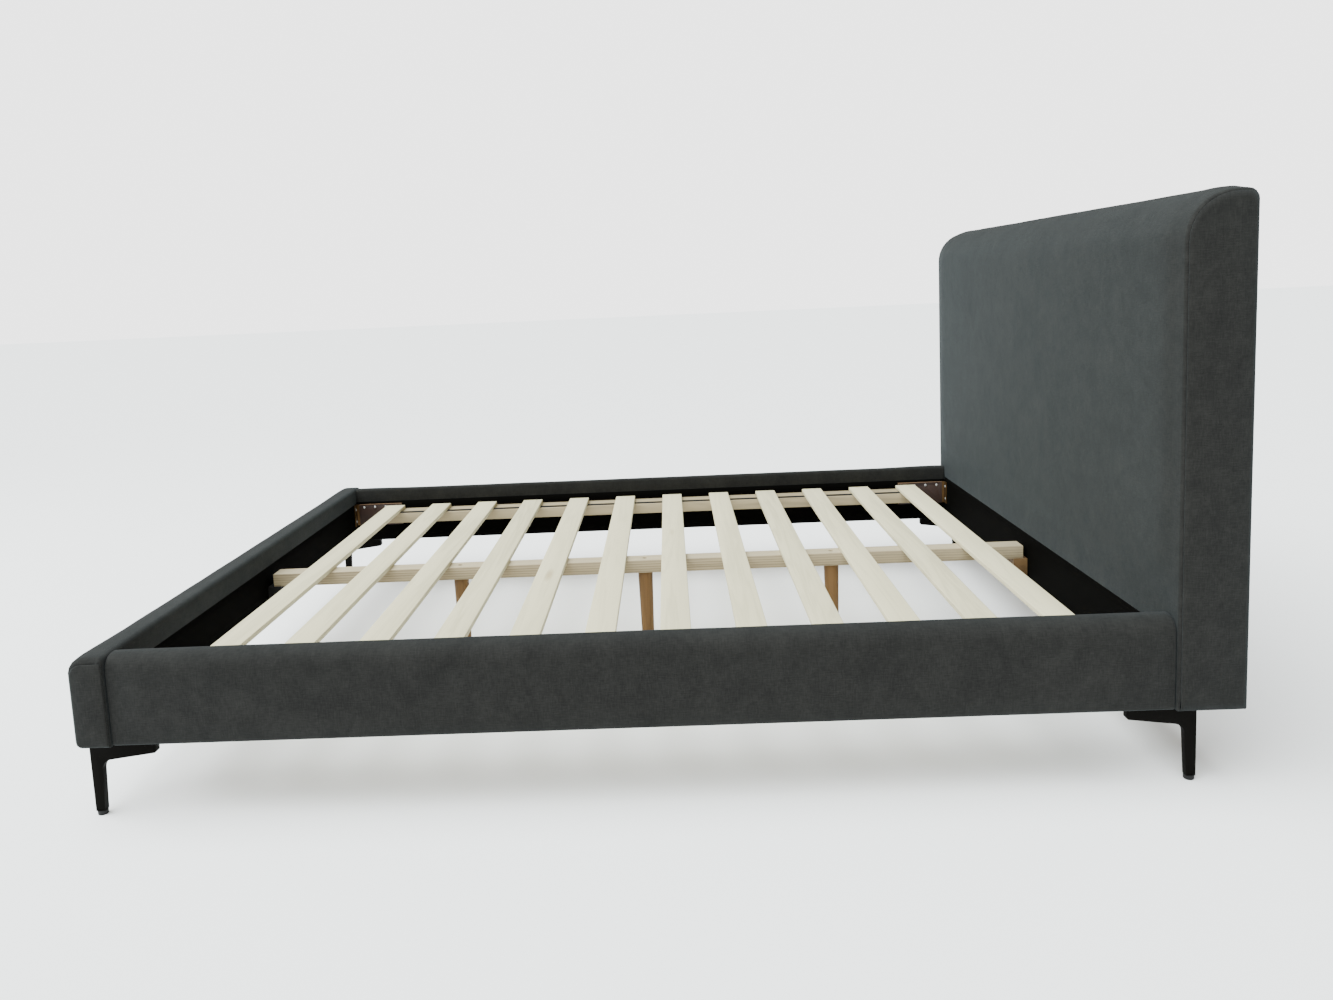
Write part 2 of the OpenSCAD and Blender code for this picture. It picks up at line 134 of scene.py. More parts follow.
class BedStage(PropertyGroup):
    """The camera, floor and lights."""

    eye: FloatVectorProperty(
        name="Eye", description="Where the camera stands", size=3, unit="LENGTH",
        default=(2.6816, 0.0613, 1.0065),
    )
    ahead: FloatVectorProperty(
        name="Ahead", description="Direction in which the camera looks", size=3,
        default=(-0.99274, -0.02514, -0.11763),
    )
    upward: FloatVectorProperty(
        name="Upward", description="Direction of the top of the picture", size=3,
        default=(-0.11861, 0.04216, 0.99205),
    )
    lens: FloatProperty(name="Lens", description="Focal length for a 36 mm sensor", default=27.11)
    shift: FloatVectorProperty(
        name="Shift", description="Camera shift, sideways and up", size=2, default=(0.01565, -0.0722)
    )
    floor: colour_property("Floor", "Colour of the floor", (0.93, 0.93, 0.92))
    key: FloatProperty(name="Key", description="Strength of the overhead light", default=10)
    key_tint: colour_property("Key tint", "Colour of the overhead light", (0.90, 0.97, 1.0))
    fill: FloatProperty(name="Fill", description="Power of the fill light", default=115, unit="POWER")
    sky: FloatProperty(name="Sky", description="Light from the white surroundings", default=0.6)
    sky_tint: colour_property("Sky tint", "Colour of the light from the surroundings", (1.0, 0.95, 0.88))
    backdrop: FloatProperty(name="Backdrop", description="Brightness of the seen surroundings", default=3.2)


# ---- node graphs ----


class Value:
    """An output of a node, with Python's operators for its maths."""

    def __init__(self, graph, socket):
        self.graph, self.socket = graph, socket

    def maths(self, operation, *others):
        sockets = {place: other for place, other in enumerate((self, *others))}
        return self.graph.node("ShaderNodeMath", {"operation": operation}, sockets)

    def reflected(self, operation, other):
        return self.graph.node("ShaderNodeMath", {"operation": operation}, {0: other, 1: self})

    def __add__(self, other):
        return self.maths("ADD", other)

    def __sub__(self, other):
        return self.maths("SUBTRACT", other)

    def __mul__(self, other):
        return self.maths("MULTIPLY", other)

    def __truediv__(self, other):
        return self.maths("DIVIDE", other)

    def __pow__(self, other):
        return self.maths("POWER", other)

    def __radd__(self, other):
        return self.reflected("ADD", other)

    def __rsub__(self, other):
        return self.reflected("SUBTRACT", other)

    def __rmul__(self, other):
        return self.reflected("MULTIPLY", other)


class Graph:
    """A node tree that is built by calls."""

    def __init__(self, tree):
        self.tree = tree

    def node(self, kind, settings=None, sockets=None, out=0):
        """Adds a node, makes its settings first, fills its sockets, and returns one output."""
        made = self.tree.nodes.new(kind)
        for name, setting in (settings or {}).items():
            if name == "stops":
                self.stops(made.color_ramp, setting)
            else:
                setattr(made, name, setting)
        for key, value in (sockets or {}).items():
            socket = made.inputs[key] if isinstance(key, int) else self.named(made.inputs, key)
            if isinstance(value, Value):
                self.tree.links.new(socket, value.socket)
            else:
                socket.default_value = value
        return Value(self, made.outputs[out] if isinstance(out, int) else self.named(made.outputs, out))

    @staticmethod
    def named(sockets, name):
        return next(s for s in sockets if name in (s.identifier, s.name))

    @staticmethod
    def stops(ramp, stops):
        while len(ramp.elements) < len(stops):
            ramp.elements.new(1)
        for element, (place, colour) in zip(ramp.elements, stops):
            element.position = place
            element.color = (*colour, 1) if hasattr(colour, "__len__") else (colour, colour, colour, 1)

    def mix(self, factor, first, second):
        """Mix of two colours."""
        colours = {
            key: (*c, 1) if isinstance(c, (tuple, list)) and len(c) == 3 else c
            for key, c in (("A_Color", first), ("B_Color", second))
        }
        return self.node(
            "ShaderNodeMix",
            {"data_type": "RGBA", "blend_type": "MIX"},
            {"Factor_Float": factor, **colours},
            "Result_Color",
        )

    def vector(self, operation, first, second):
        return self.node("ShaderNodeVectorMath", {"operation": operation}, {0: first, 1: second})

    def xyz(self, vector):
        """The three numbers of a vector."""
        return [self.node("ShaderNodeSeparateXYZ", sockets={0: vector}, out=k) for k in range(3)]

    def noise(self, vector, scale=1.0, detail=2.0, roughness=0.5, distortion=0.0):
        return self.node(
            "ShaderNodeTexNoise",
            sockets={
                "Vector": vector, "Scale": scale, "Detail": detail,
                "Roughness": roughness, "Distortion": distortion,
            },
        )

    def ramp(self, factor, *stops):
        return self.node("ShaderNodeValToRGB", {"stops": stops}, {0: factor})

    def join(self, *shapes):
        """Several geometries as one."""
        made = self.tree.nodes.new("GeometryNodeJoinGeometry")
        for shape in shapes:
            self.tree.links.new(made.inputs[0], shape.socket)
        return Value(self, made.outputs[0])


class Finish(Graph):
    """A material whose colour, roughness and bump are worked out by nodes."""

    def __init__(self, name):
        self.material = bpy.data.materials.new(name)
        self.material.use_nodes = True
        super().__init__(self.material.node_tree)
        self.shader = self.tree.nodes["Principled BSDF"]

    def object_place(self):
        return self.node("ShaderNodeTexCoord", out="Object")

    def cloth_place(self):
        return self.node("ShaderNodeUVMap", {"uv_map": "cloth"})

    def attribute(self, name):
        return self.node("ShaderNodeAttribute", {"attribute_name": name}, out="Fac")

    def stretched(self, vector, x, y, z):
        return self.vector("MULTIPLY", vector, (x, y, z))

    def shade(self, **inputs):
        """Sets the shader's sockets, named with underscores for spaces."""
        for key, value in inputs.items():
            socket = self.shader.inputs[key.replace("_", " ")]
            if isinstance(value, Value):
                self.tree.links.new(socket, value.socket)
            else:
                socket.default_value = value

    def bump(self, height, distance, strength=1.0):
        self.shade(
            Normal=self.node(
                "ShaderNodeBump", sockets={"Height": height, "Distance": distance, "Strength": strength}
            )
        )


def velvet_finish(settings):
    """Short charcoal pile: cloudy where it has been brushed, with a fine chenille slub."""
    f = Finish("velvet")
    place = f.cloth_place()
    clouds = f.noise(f.stretched(place, 4.5, 5.5, 0), detail=4, roughness=0.62, distortion=0.8)
    patches = f.noise(f.stretched(place, 26.0, 20.0, 0), detail=4, roughness=0.66, distortion=0.5)
    slubs = f.noise(f.stretched(place, 330.0, 55.0, 0), detail=3, roughness=0.7)
    weft = f.noise(f.stretched(place, 60.0, 420.0, 0), detail=2, roughness=0.65)
    pile = f.noise(f.stretched(place, 1300.0, 1000.0, 0), detail=1)
    shade = (clouds - 0.5) * 0.60 + (patches - 0.5) * 0.80 + (slubs - 0.5) * 0.95
    shade = shade + (weft - 0.5) * 0.85 + (pile - 0.5) * 1.0
    base = tuple(settings.velvet)
    dark, light = tuple(c * 0.66 for c in base), tuple(c * 1.42 for c in base)
    f.shade(
        Base_Color=f.ramp(shade + 0.5, (0.15, dark), (0.5, base), (0.88, light)),
        Roughness=f.node("ShaderNodeClamp", sockets={0: 0.9 - shade * 0.08}),
        Sheen_Weight=settings.bloom,
        Sheen_Roughness=0.5,
        Sheen_Tint=(*settings.velvet_bloom, 1),
        Specular_IOR_Level=0.1,
    )
    f.bump(slubs * 0.45 + weft * 0.3 + pile * 0.6 + patches * 0.8, 0.0006, 0.6)
    return f.material


def lining_finish(name, tone, gloss):
    """Black non-woven cloth with pressed dots."""
    f = Finish(name)
    place = f.cloth_place()
    dots = f.node(
        "ShaderNodeTexVoronoi", sockets={"Vector": place, "Scale": 420.0, "Randomness": 0.35}, out="Distance"
    )
    fibres = f.noise(f.stretched(place, 500.0, 500.0, 0), detail=3, roughness=0.7)
    colour = f.mix(fibres - dots * 0.4, tuple(c * 0.6 for c in tone), tuple(c * 1.7 for c in tone))
    f.shade(Base_Color=colour, Roughness=0.78 + fibres * 0.2, Specular_IOR_Level=gloss)
    f.bump(dots * 0.6 + fibres * 0.4, 0.0004, 0.6)
    return f.material


def webbing_finish():
    """Black polypropylene strap with a flat rib."""
    f = Finish("black_webbing")
    x, y, _ = f.xyz(f.object_place())
    rib = (x * 1500.0).maths("SINE")
    pick = (y * 2200.0).maths("SINE")
    weave = rib * pick
    f.shade(
        Base_Color=f.mix(weave * 0.5 + 0.5, (0.004, 0.004, 0.004), (0.013, 0.013, 0.013)),
        Roughness=0.7,
        Specular_IOR_Level=0.12,
    )
    f.bump(weave, 0.0002, 0.6)
    return f.material


def wood_finish(name, tone, dark=0.72, light=1.12, along="X", grain=1.0, knots=0.0, rough=0.62, footward_colour=None):
    """Planed wood with its grain along one axis; each board is cut from another part of the tree.
    What lies towards the foot of the bed (object y below zero) may take another, given colour."""
    f = Finish(name)
    x, y, z = f.xyz(f.object_place())
    shift = f.attribute("board")
    run, across, rise = {"X": (x, y, z), "Y": (y, x, z), "Z": (z, x, y)}[along]
    place = f.node(
        "ShaderNodeCombineXYZ",
        sockets={0: run + shift * 3.7, 1: across + shift * 0.913, 2: rise + shift * 0.37},
    )
    figure = f.noise(f.stretched(place, 0.9, 15.0, 15.0), detail=3, roughness=0.55, distortion=1.1)
    rings = ((figure * 26.0 + across * 40.0).maths("SINE") * 0.5 + 0.5) ** 2.2
    pores = f.noise(f.stretched(place, 14.0, 900.0, 900.0), detail=2, roughness=0.6)
    fibres = f.noise(f.stretched(place, 5.0, 210.0, 210.0), detail=3, roughness=0.6)
    tint = f.noise(f.stretched(place, 1.6, 3.0, 3.0), detail=2)
    shade = rings * (0.20 * grain) + (fibres - 0.5) * (0.34 * grain) + (pores - 0.5) * (0.30 * grain)
    shade = shade + (tint - 0.5) * 0.5 + (f.noise(shift * 7.7, detail=0) - 0.5) * 0.5
    low, high = tuple(c * dark for c in tone), tuple(min(1, c * light) for c in tone)
    colour = f.ramp(shade + 0.42, (0.1, high), (0.5, tone), (0.95, low))
    if knots:
        cells = f.node(
            "ShaderNodeTexVoronoi",
            {"feature": "F1"},
            {"Vector": f.stretched(place, 1.3, 7.0, 0.4), "Scale": 1.0, "Randomness": 1.0},
            "Distance",
        )
        eye = f.ramp(cells, (0.0, 1.0), (0.035, 0.85), (0.10, 0.0))
        colour = f.mix(eye * knots, colour, tuple(c * k for c, k in zip(tone, (0.42, 0.30, 0.20))))
    if footward_colour:
        # Towards the foot of the bed (y below zero) the given colour replaces the wood's colour.
        colour = f.mix(y.maths("LESS_THAN", 0.0), colour, footward_colour)
    f.shade(Base_Color=colour, Roughness=rough + (fibres - 0.5) * 0.25, Specular_IOR_Level=0.25)
    f.bump(pores * 0.5 + fibres * 0.6, 0.0004, 0.5)
    return f.material


def laminated_finish(tone):
    """Laminated veneer on edge: thin plies with dark glue lines, and painted light from above: faces turned
    upward are painted paler and bluer.
    """
    f = Finish("laminated_beam")
    x, y, z = f.xyz(f.object_place())
    wander = f.noise(f.node("ShaderNodeCombineXYZ", sockets={0: x * 4.0, 1: y * 2.2, 2: z * 8.0}), detail=3)
    plies = ((z + (wander - 0.5) * 0.0016) * (2 * math.pi / 0.0068)).maths("SINE") * 0.5 + 0.5
    glue = plies ** 9.0
    fibres = f.noise(
        f.node("ShaderNodeCombineXYZ", sockets={0: x * 260.0, 1: y * 7.0, 2: z * 260.0}), detail=3
    )
    blotch = f.noise(f.node("ShaderNodeCombineXYZ", sockets={0: x * 3.0, 1: y * 5.0, 2: z * 60.0}), detail=2)
    shade = (fibres - 0.5) * 0.7 + (blotch - 0.5) * 0.6
    dark, light = tuple(c * 0.66 for c in tone), tuple(min(1, c * 1.25) for c in tone)
    base = f.ramp(shade + 0.5, (0.1, dark), (0.5, tone), (0.9, light))
    normal = f.xyz(f.node("ShaderNodeNewGeometry", out="Normal"))[2]
    side = 1.0 - normal.maths("ABSOLUTE")
    colour = f.mix(glue * side * 0.75, base, tuple(c * k for c, k in zip(tone, (0.36, 0.27, 0.20))))
    # Painted light: upward faces are made paler and bluer, as if lit from above.
    top = tuple(min(1, c * k) for c, k in zip(tone, (1.22, 1.26, 1.36)))
    colour = f.mix(normal.maths("MAXIMUM", 0.0) * 0.75, colour, top)
    f.shade(Base_Color=colour, Roughness=0.66 + (fibres - 0.5) * 0.2, Specular_IOR_Level=0.25)
    f.bump(fibres * 0.6 - glue * side, 0.0005, 0.6)
    return f.material


def film_finish(tone):
    """Dark phenolic film over plywood, scuffed so that a little of the brown below shows."""
    f = Finish("film_faced_plywood")
    place = f.object_place()
    x, y, z = f.xyz(place)
    scuffs = f.noise(f.stretched(place, 8.0, 120.0, 160.0), detail=4, roughness=0.7)
    cloud = f.noise(f.stretched(place, 30.0, 30.0, 30.0), detail=3)
    plies = ((x * (2 * math.pi / 0.0014)).maths("SINE") * 0.5 + 0.5) ** 3.0
    facing = f.xyz(f.node("ShaderNodeNewGeometry", out="Normal"))[0].maths("ABSOLUTE")
    dark, light = tuple(c * 0.6 for c in tone), tuple(c * 2.2 for c in tone)
    face = f.ramp(cloud * 0.6 + scuffs * 0.4, (0.3, dark), (0.62, tone), (0.8, light))
    edge = f.mix(plies, (0.26, 0.15, 0.07), (0.09, 0.04, 0.02))
    f.shade(Base_Color=f.mix(facing, edge, face), Roughness=0.42 + scuffs * 0.2)
    f.bump(scuffs, 0.0003, 0.4)
    return f.material


def powder_finish(settings):
    """Black powder coat with its fine orange peel and a faint cloudy variation in its tone."""
    f = Finish("black_powder_coat")
    place = f.object_place()
    peel = f.noise(place, 900.0, detail=2)
    dust = f.noise(place, 60.0, detail=4, roughness=0.7)
    base = tuple(settings.powder)
    f.shade(
        Base_Color=f.mix(dust, tuple(c * 0.7 for c in base), tuple(c * 1.6 for c in base)),
        Roughness=0.46 + dust * 0.16,
        Specular_IOR_Level=0.03,
    )
    f.bump(peel, 0.00012, 0.7)
    return f.material


def metal_finish(name, tone, rough=0.38):
    """Plated steel with faint brushing and clouded passivation."""
    f = Finish(name)
    place = f.object_place()
    cloud = f.noise(place, 90.0, detail=3, roughness=0.6)
    lines = f.noise(f.stretched(place, 1600.0, 1600.0, 60.0), detail=2)
    f.shade(
        Base_Color=f.mix(cloud, tuple(c * 0.72 for c in tone), tuple(min(1, c * 1.2) for c in tone)),
        Roughness=rough + (lines - 0.5) * 0.2 + (cloud - 0.5) * 0.15,
        Metallic=0.85,
    )
    f.bump(lines, 0.00006, 0.5)
    return f.material


def moulded_finish(settings):
    """Black moulded plastic with a fine spark-eroded grain."""
    f = Finish("moulded_plastic")
    place = f.object_place()
    grain = f.noise(place, 2200.0, detail=2)
    wear = f.noise(place, 140.0, detail=3)
    base = tuple(settings.glide)
    f.shade(
        Base_Color=f.mix(wear, tuple(c * 0.7 for c in base), tuple(c * 1.8 for c in base)),
        Roughness=0.5 + wear * 0.15,
        Specular_IOR_Level=0.2,
    )
    f.bump(grain, 0.00008, 0.6)
    return f.material


FINISHES = {}


def finish(name):
    """The material of that name, made the first time that it is asked for."""
    if name not in FINISHES:
        cloth, wood, metal = (
            bpy.context.scene.bed_upholstery,
            bpy.context.scene.bed_woodwork,
            bpy.context.scene.bed_metalwork,
        )
        makers = {
            "velvet": lambda: velvet_finish(cloth),
            "lining": lambda: lining_finish("black_lining", tuple(cloth.lining), 0.02),
            "dust_cloth": lambda: lining_finish("dust_cloth", tuple(cloth.dust_cloth), 0.2),
            "webbing": webbing_finish,
            "slat": lambda: wood_finish("planed_poplar", tuple(wood.slat), knots=0.8),
            "ledger": lambda: wood_finish("sawn_ledger", tuple(wood.ledger), along="Y", grain=1.3),
            "hidden_board": lambda: wood_finish("plywood_board", (0.46, 0.33, 0.18), along="Y"),
            # The block towards the foot of the bed is coloured near black.
            "block": lambda: wood_finish(
                "golden_block", (0.10, 0.056, 0.021), dark=0.5, grain=1.3, footward_colour=(0.004, 0.0036, 0.003)
            ),
            "leg": lambda: wood_finish("turned_leg", tuple(wood.leg), dark=0.6, along="Z", grain=1.2),
            "beam": lambda: laminated_finish(tuple(wood.ledger)),
            "film": lambda: film_finish(tuple(wood.plate)),
            "powder": lambda: powder_finish(metal),
            "zinc": lambda: metal_finish("yellow_zinc", tuple(metal.zinc), 0.42),
            "steel": lambda: metal_finish("zinc_steel", tuple(metal.steel)),
            "glide": lambda: moulded_finish(metal),
        }
        FINISHES[name] = makers[name]()
    return FINISHES[name]


# ---- meshes ----


def new_piece(name, vertices, faces, uvs=None, smooth=True):
    """An object at the origin from points and faces, with its cloth map if it has one."""
    mesh = bpy.data.meshes.new(name)
    mesh.from_pydata([tuple(v) for v in vertices], [], faces)
    if uvs is not None:
        layer = mesh.uv_layers.new(name="cloth")
        layer.data.foreach_set("uv", np.array(uvs, np.float32).ravel())
    made = bpy.data.objects.new(name, mesh)
    bpy.context.scene.collection.objects.link(made)
    outward(mesh)
    mesh.polygons.foreach_set("use_smooth", [smooth] * len(mesh.polygons))
    mesh.update()
    return made


def outward(mesh):
    """Turns every face of a closed mesh outwards."""
    work = bmesh.new()
    work.from_mesh(mesh)
    bmesh.ops.recalc_face_normals(work, faces=work.faces)
    work.to_mesh(mesh)
    work.free()


def paint(piece, name):
    piece.data.materials.clear()
    piece.data.materials.append(finish(name))


def dress(piece, finish_name, slot, body, *nodes):
    """Gives a piece its finish and its body, and hides the CAD nodes that it stands for; the slot is not
    used.
    """
    paint(piece, finish_name)
    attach(piece, body)
    if nodes:
        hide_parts(*nodes)
    return piece


def smoothstep(value, low, high):
    t = np.clip((value - low) / (high - low), 0, 1)
    return t * t * (3 - 2 * t)


def section(width, height, radii, cell):
    """Points and outward normals round a rectangle, anticlockwise from its lower left corner.
    The radii are those of the lower left, lower right, upper right and upper left corners."""
    low_left, low_right, top_right, top_left = radii
    corners = [
        ((low_left, low_left), low_left, 180),
        ((width - low_right, low_right), low_right, 270),
        ((width - top_right, height - top_right), top_right, 0),
        ((top_left, height - top_left), top_left, 90),
    ]
    arcs = []
    for centre, radius, start in corners:
        steps = max(4, round(radius * math.pi / 2 / cell))
        angles = np.radians(start + 90 * np.arange(steps + 1) / steps)
        normals = np.stack([np.cos(angles), np.sin(angles)], 1)
        arcs.append((np.array(centre) + radius * normals, normals))
    points, normals = [], []
    for here, after in zip(arcs, arcs[1:] + arcs[:1]):
        points.extend(here[0])
        normals.extend(here[1])
        gap = after[0][0] - here[0][-1]
        steps = max(1, round(np.linalg.norm(gap) / cell))
        for k in range(1, steps):
            points.append(here[0][-1] + gap * k / steps)
            normals.append(here[1][-1])
    return np.array(points), np.array(normals)


def stations(low, high, cell, roll):
    """Places along a padded piece: close together where its ends roll over, then one cell apart."""
    near = roll * (1 - np.cos(np.radians(np.linspace(0, 90, 6))))
    middle = np.linspace(low + roll, high - roll, max(2, round((high - low - 2 * roll) / cell)) + 1)
    return np.concatenate([low + near[:-1], middle, (high - near[:-1])[::-1]])


def rolled(distance, radius):
    """How far a surface is drawn in, at that distance from the end, where it rolls into a seam."""
    d = np.clip(distance, 0, radius)
    return radius - np.sqrt(np.maximum(radius**2 - (radius - d) ** 2, 0))


def loft(name, rings, along, around):
    """Closed mesh through rings of points, with a cloth map in metres along and around."""
    count, points = rings.shape[:2]
    vertices = list(rings.reshape(-1, 3))
    faces, uvs = [], []
    for i in range(count - 1):
        for j in range(points):
            after = (j + 1) % points
            faces.append((i * points + j, i * points + after, (i + 1) * points + after, (i + 1) * points + j))
            for row, turn in ((i, j), (i, j + 1), (i + 1, j + 1), (i + 1, j)):
                uvs.append((along[row], around[turn]))
    for row in (0, count - 1):
        vertices.append(rings[row].mean(0))
        hub = len(vertices) - 1
        for j in range(points):
            faces.append((row * points + j, row * points + (j + 1) % points, hub))
            uvs.extend([(along[row], around[j]), (along[row], around[j + 1]), (along[row], around[j])])
    return new_piece(name, vertices, faces, uvs)


def run_of(points):
    """Distance round a closed outline, from its first point back to it."""
    steps = np.linalg.norm(np.roll(points, -1, 0) - points, axis=1)
    return np.concatenate([[0], np.cumsum(steps)])


def ripple(point, size):
    """Smooth unevenness between -1 and 1, that repeats about every size metres."""
    return noise.noise(Vector(point) / size)


def padded_length(name, outline, ends, place, rise, cell, seam):
    """A padded piece: a section along a length, puffed by rise and rolled in at both ends.
    The seam's radius is one number, or one for each point of the section."""
    points, normals = outline
    rows = stations(*ends, cell, np.max(seam))
    around = run_of(points)
    rings = []
    for row in rows:
        reach = min(row - ends[0], ends[1] - row)
        puff = rise(points, normals, row, reach) - rolled(reach, seam)
        flat = points + normals * np.array(puff)[:, None]
        rings.append([place(row, a, b) for a, b in flat])
    return loft(name, np.array(rings), rows - rows[0], around)


def end_panel(name, outline, spine, place, seam, puff, depth):
    """A sewn end panel: a thin closed pillow inside an outline, crowned towards its spine."""
    points, normals = outline
    start, end = np.array(spine[0]), np.array(spine[1])
    along = end - start
    t = np.clip((points - start) @ along / (along @ along), 0, 1)
    centre = start + t[:, None] * along
    rings, heights = [], []
    for angle in np.radians(np.linspace(0, 90, 5)):
        rings.append(points - normals * seam * (1 - np.sin(angle)) * 0.6)
        heights.append(-seam * np.cos(angle))
    rings, heights = rings[::-1], heights[::-1]
    outer = rings[0]
    layers, raised = [], []
    for share in np.linspace(0, 0.92, 9)[1:][::-1]:
        layers.append(outer + (centre - outer) * share)
        raised.append(puff * (1 - (1 - share) ** 2.2))
    rings, heights = layers + rings, raised + heights
    vertices = [place(a, b, h) for ring, h in zip(rings, heights) for a, b in ring]
    vertices += [place(a, b, -depth) for a, b in points - normals * seam * 0.6]
    count, size = len(rings) + 1, len(points)
    flat = [p for ring in rings for p in ring] + list(points)
    faces, uvs = [], []
    for i in range(count - 1):
        for j in range(size):
            after = (j + 1) % size
            face = (i * size + j, i * size + after, (i + 1) * size + after, (i + 1) * size + j)
            faces.append(face)
            uvs.extend(flat[k] for k in face)
    for row in (0, count - 1):
        face = tuple(row * size + j for j in range(size))
        faces.append(face)
        uvs.extend(flat[k] for k in face)
    return new_piece(name, vertices, faces, uvs)


def cloth_sheet(name, corner, across, up, thickness, cell, slack=0.0006):
    """A stretched sheet of cloth from a corner along two edges, with faint pulls between its staples."""
    corner, across, up = Vector(corner), Vector(across), Vector(up)
    normal = across.cross(up).normalized()
    columns = max(2, round(across.length / cell))
    rows = max(2, round(up.length / cell))
    front, back, flat = [], [], []
    for i in range(rows + 1):
        for j in range(columns + 1):
            u, v = j / columns, i / rows
            rim_gap = min(
                u * across.length, (1 - u) * across.length, v * up.length, (1 - v) * up.length
            )
            inside = min(1, 8 * rim_gap / up.length)
            point = corner + across * u + up * v
            lift = slack * inside * (ripple(point, 0.11) + 0.6 * ripple(point, 0.035))
            front.append(point + normal * lift)
            back.append(point - normal * thickness)
            flat.append((u * across.length, v * up.length))
    size = len(front)
    faces = []
    stride = columns + 1
    for i in range(rows):
        for j in range(columns):
            a = i * stride + j
            faces.append((a, a + 1, a + 1 + stride, a + stride))
            faces.append((size + a, size + a + stride, size + a + 1 + stride, size + a + 1))
    rim = (
        [j for j in range(stride)]
        + [i * stride + columns for i in range(1, rows + 1)]
        + [rows * stride + j for j in range(columns - 1, -1, -1)]
        + [i * stride for i in range(rows - 1, 0, -1)]
    )
    for a, b in zip(rim, rim[1:] + rim[:1]):
        faces.append((a, size + a, size + b, b))
    uvs = [flat[k % size] for face in faces for k in face]
    return new_piece(name, front + back, faces, uvs, smooth=True)


def worn_copy(name, node, edge, segments=2):
    """A merged copy of a CAD node with rounded edges."""
    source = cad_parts[node].data
    mesh = source.copy()
    mesh.name = name
    mesh.materials.clear()
    work = bmesh.new()
    work.from_mesh(mesh)
    bmesh.ops.remove_doubles(work, verts=work.verts, dist=MERGE)
    bmesh.ops.dissolve_limit(
        work, angle_limit=math.radians(1), verts=work.verts, edges=work.edges, delimit=set()
    )
    bmesh.ops.recalc_face_normals(work, faces=work.faces)
    work.to_mesh(mesh)
    work.free()
    made = bpy.data.objects.new(name, mesh)
    bpy.context.scene.collection.objects.link(made)
    mesh.polygons.foreach_set("use_smooth", [True] * len(mesh.polygons))
    bevel = made.modifiers.new("Edges", "BEVEL")
    bevel.width, bevel.segments = edge, segments
    bevel.limit_method, bevel.angle_limit = "ANGLE", math.radians(SHARP_ANGLE)
    bevel.harden_normals = True
    return made


def islands(node):
    """(lowest corner, highest corner) of each separate solid in a CAD node."""
    work = bmesh.new()
    work.from_mesh(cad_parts[node].data)
    bmesh.ops.remove_doubles(work, verts=work.verts, dist=MERGE)
    found, seen = [], set()
    for vertex in work.verts:
        if vertex.index in seen:
            continue
        stack, group = [vertex], []
        seen.add(vertex.index)
        while stack:
            here = stack.pop()
            group.append(here.co[:])
            for edge in here.link_edges:
                other = edge.other_vert(here)
                if other.index not in seen:
                    seen.add(other.index)
                    stack.append(other)
        group = np.array(group)
        found.append((group.min(0), group.max(0)))
    work.free()
    return found


# ---- geometry node trees ----


def new_tree(name, sizes):
    """A geometry tree with named size inputs, and a graph to build it with."""
    tree = bpy.data.node_groups.new(name, "GeometryNodeTree")
    tree.interface.new_socket("Geometry", in_out="INPUT", socket_type="NodeSocketGeometry")
    for size, default in sizes.items():
        kind = "NodeSocketInt" if isinstance(default, int) else "NodeSocketFloat"
        tree.interface.new_socket(size, in_out="INPUT", socket_type=kind).default_value = default
    tree.interface.new_socket("Material", in_out="INPUT", socket_type="NodeSocketMaterial")
    tree.interface.new_socket("Geometry", in_out="OUTPUT", socket_type="NodeSocketGeometry")
    graph = Graph(tree)
    source = tree.nodes.new("NodeGroupInput")
    inputs = {socket.name: Value(graph, socket) for socket in source.outputs if socket.name}
    return tree, graph, inputs


def close_tree(graph, inputs, geometry):
    """Ends a tree: real geometry with its material."""
    real = graph.node("GeometryNodeRealizeInstances", sockets={0: geometry})
    done = graph.node("GeometryNodeSetMaterial", sockets={"Geometry": real, "Material": inputs["Material"]})
    result = graph.tree.nodes.new("NodeGroupOutput")
    graph.tree.links.new(result.inputs[0], done.socket)
    return graph.tree


def grow(name, tree, finish_name, sizes, points=None):
    """The plain mesh that a tree makes from points with these sizes."""
    made = bpy.data.objects.new(name, points or bpy.data.meshes.new(name))
    bpy.context.scene.collection.objects.link(made)
    modifier = made.modifiers.new("Grow", "NODES")
    modifier.node_group = tree
    for item in tree.interface.items_tree:
        if item.in_out == "INPUT" and item.name in sizes:
            modifier[item.identifier] = sizes[item.name]
        if item.in_out == "INPUT" and item.name == "Material":
            modifier[item.identifier] = finish(finish_name)
    mesh = bpy.data.meshes.new_from_object(
        made.evaluated_get(bpy.context.evaluated_depsgraph_get()), preserve_all_data_layers=True,
        depsgraph=bpy.context.evaluated_depsgraph_get(),
    )
    made.modifiers.remove(modifier)
    made.data = mesh
    mesh.name = name
    return made


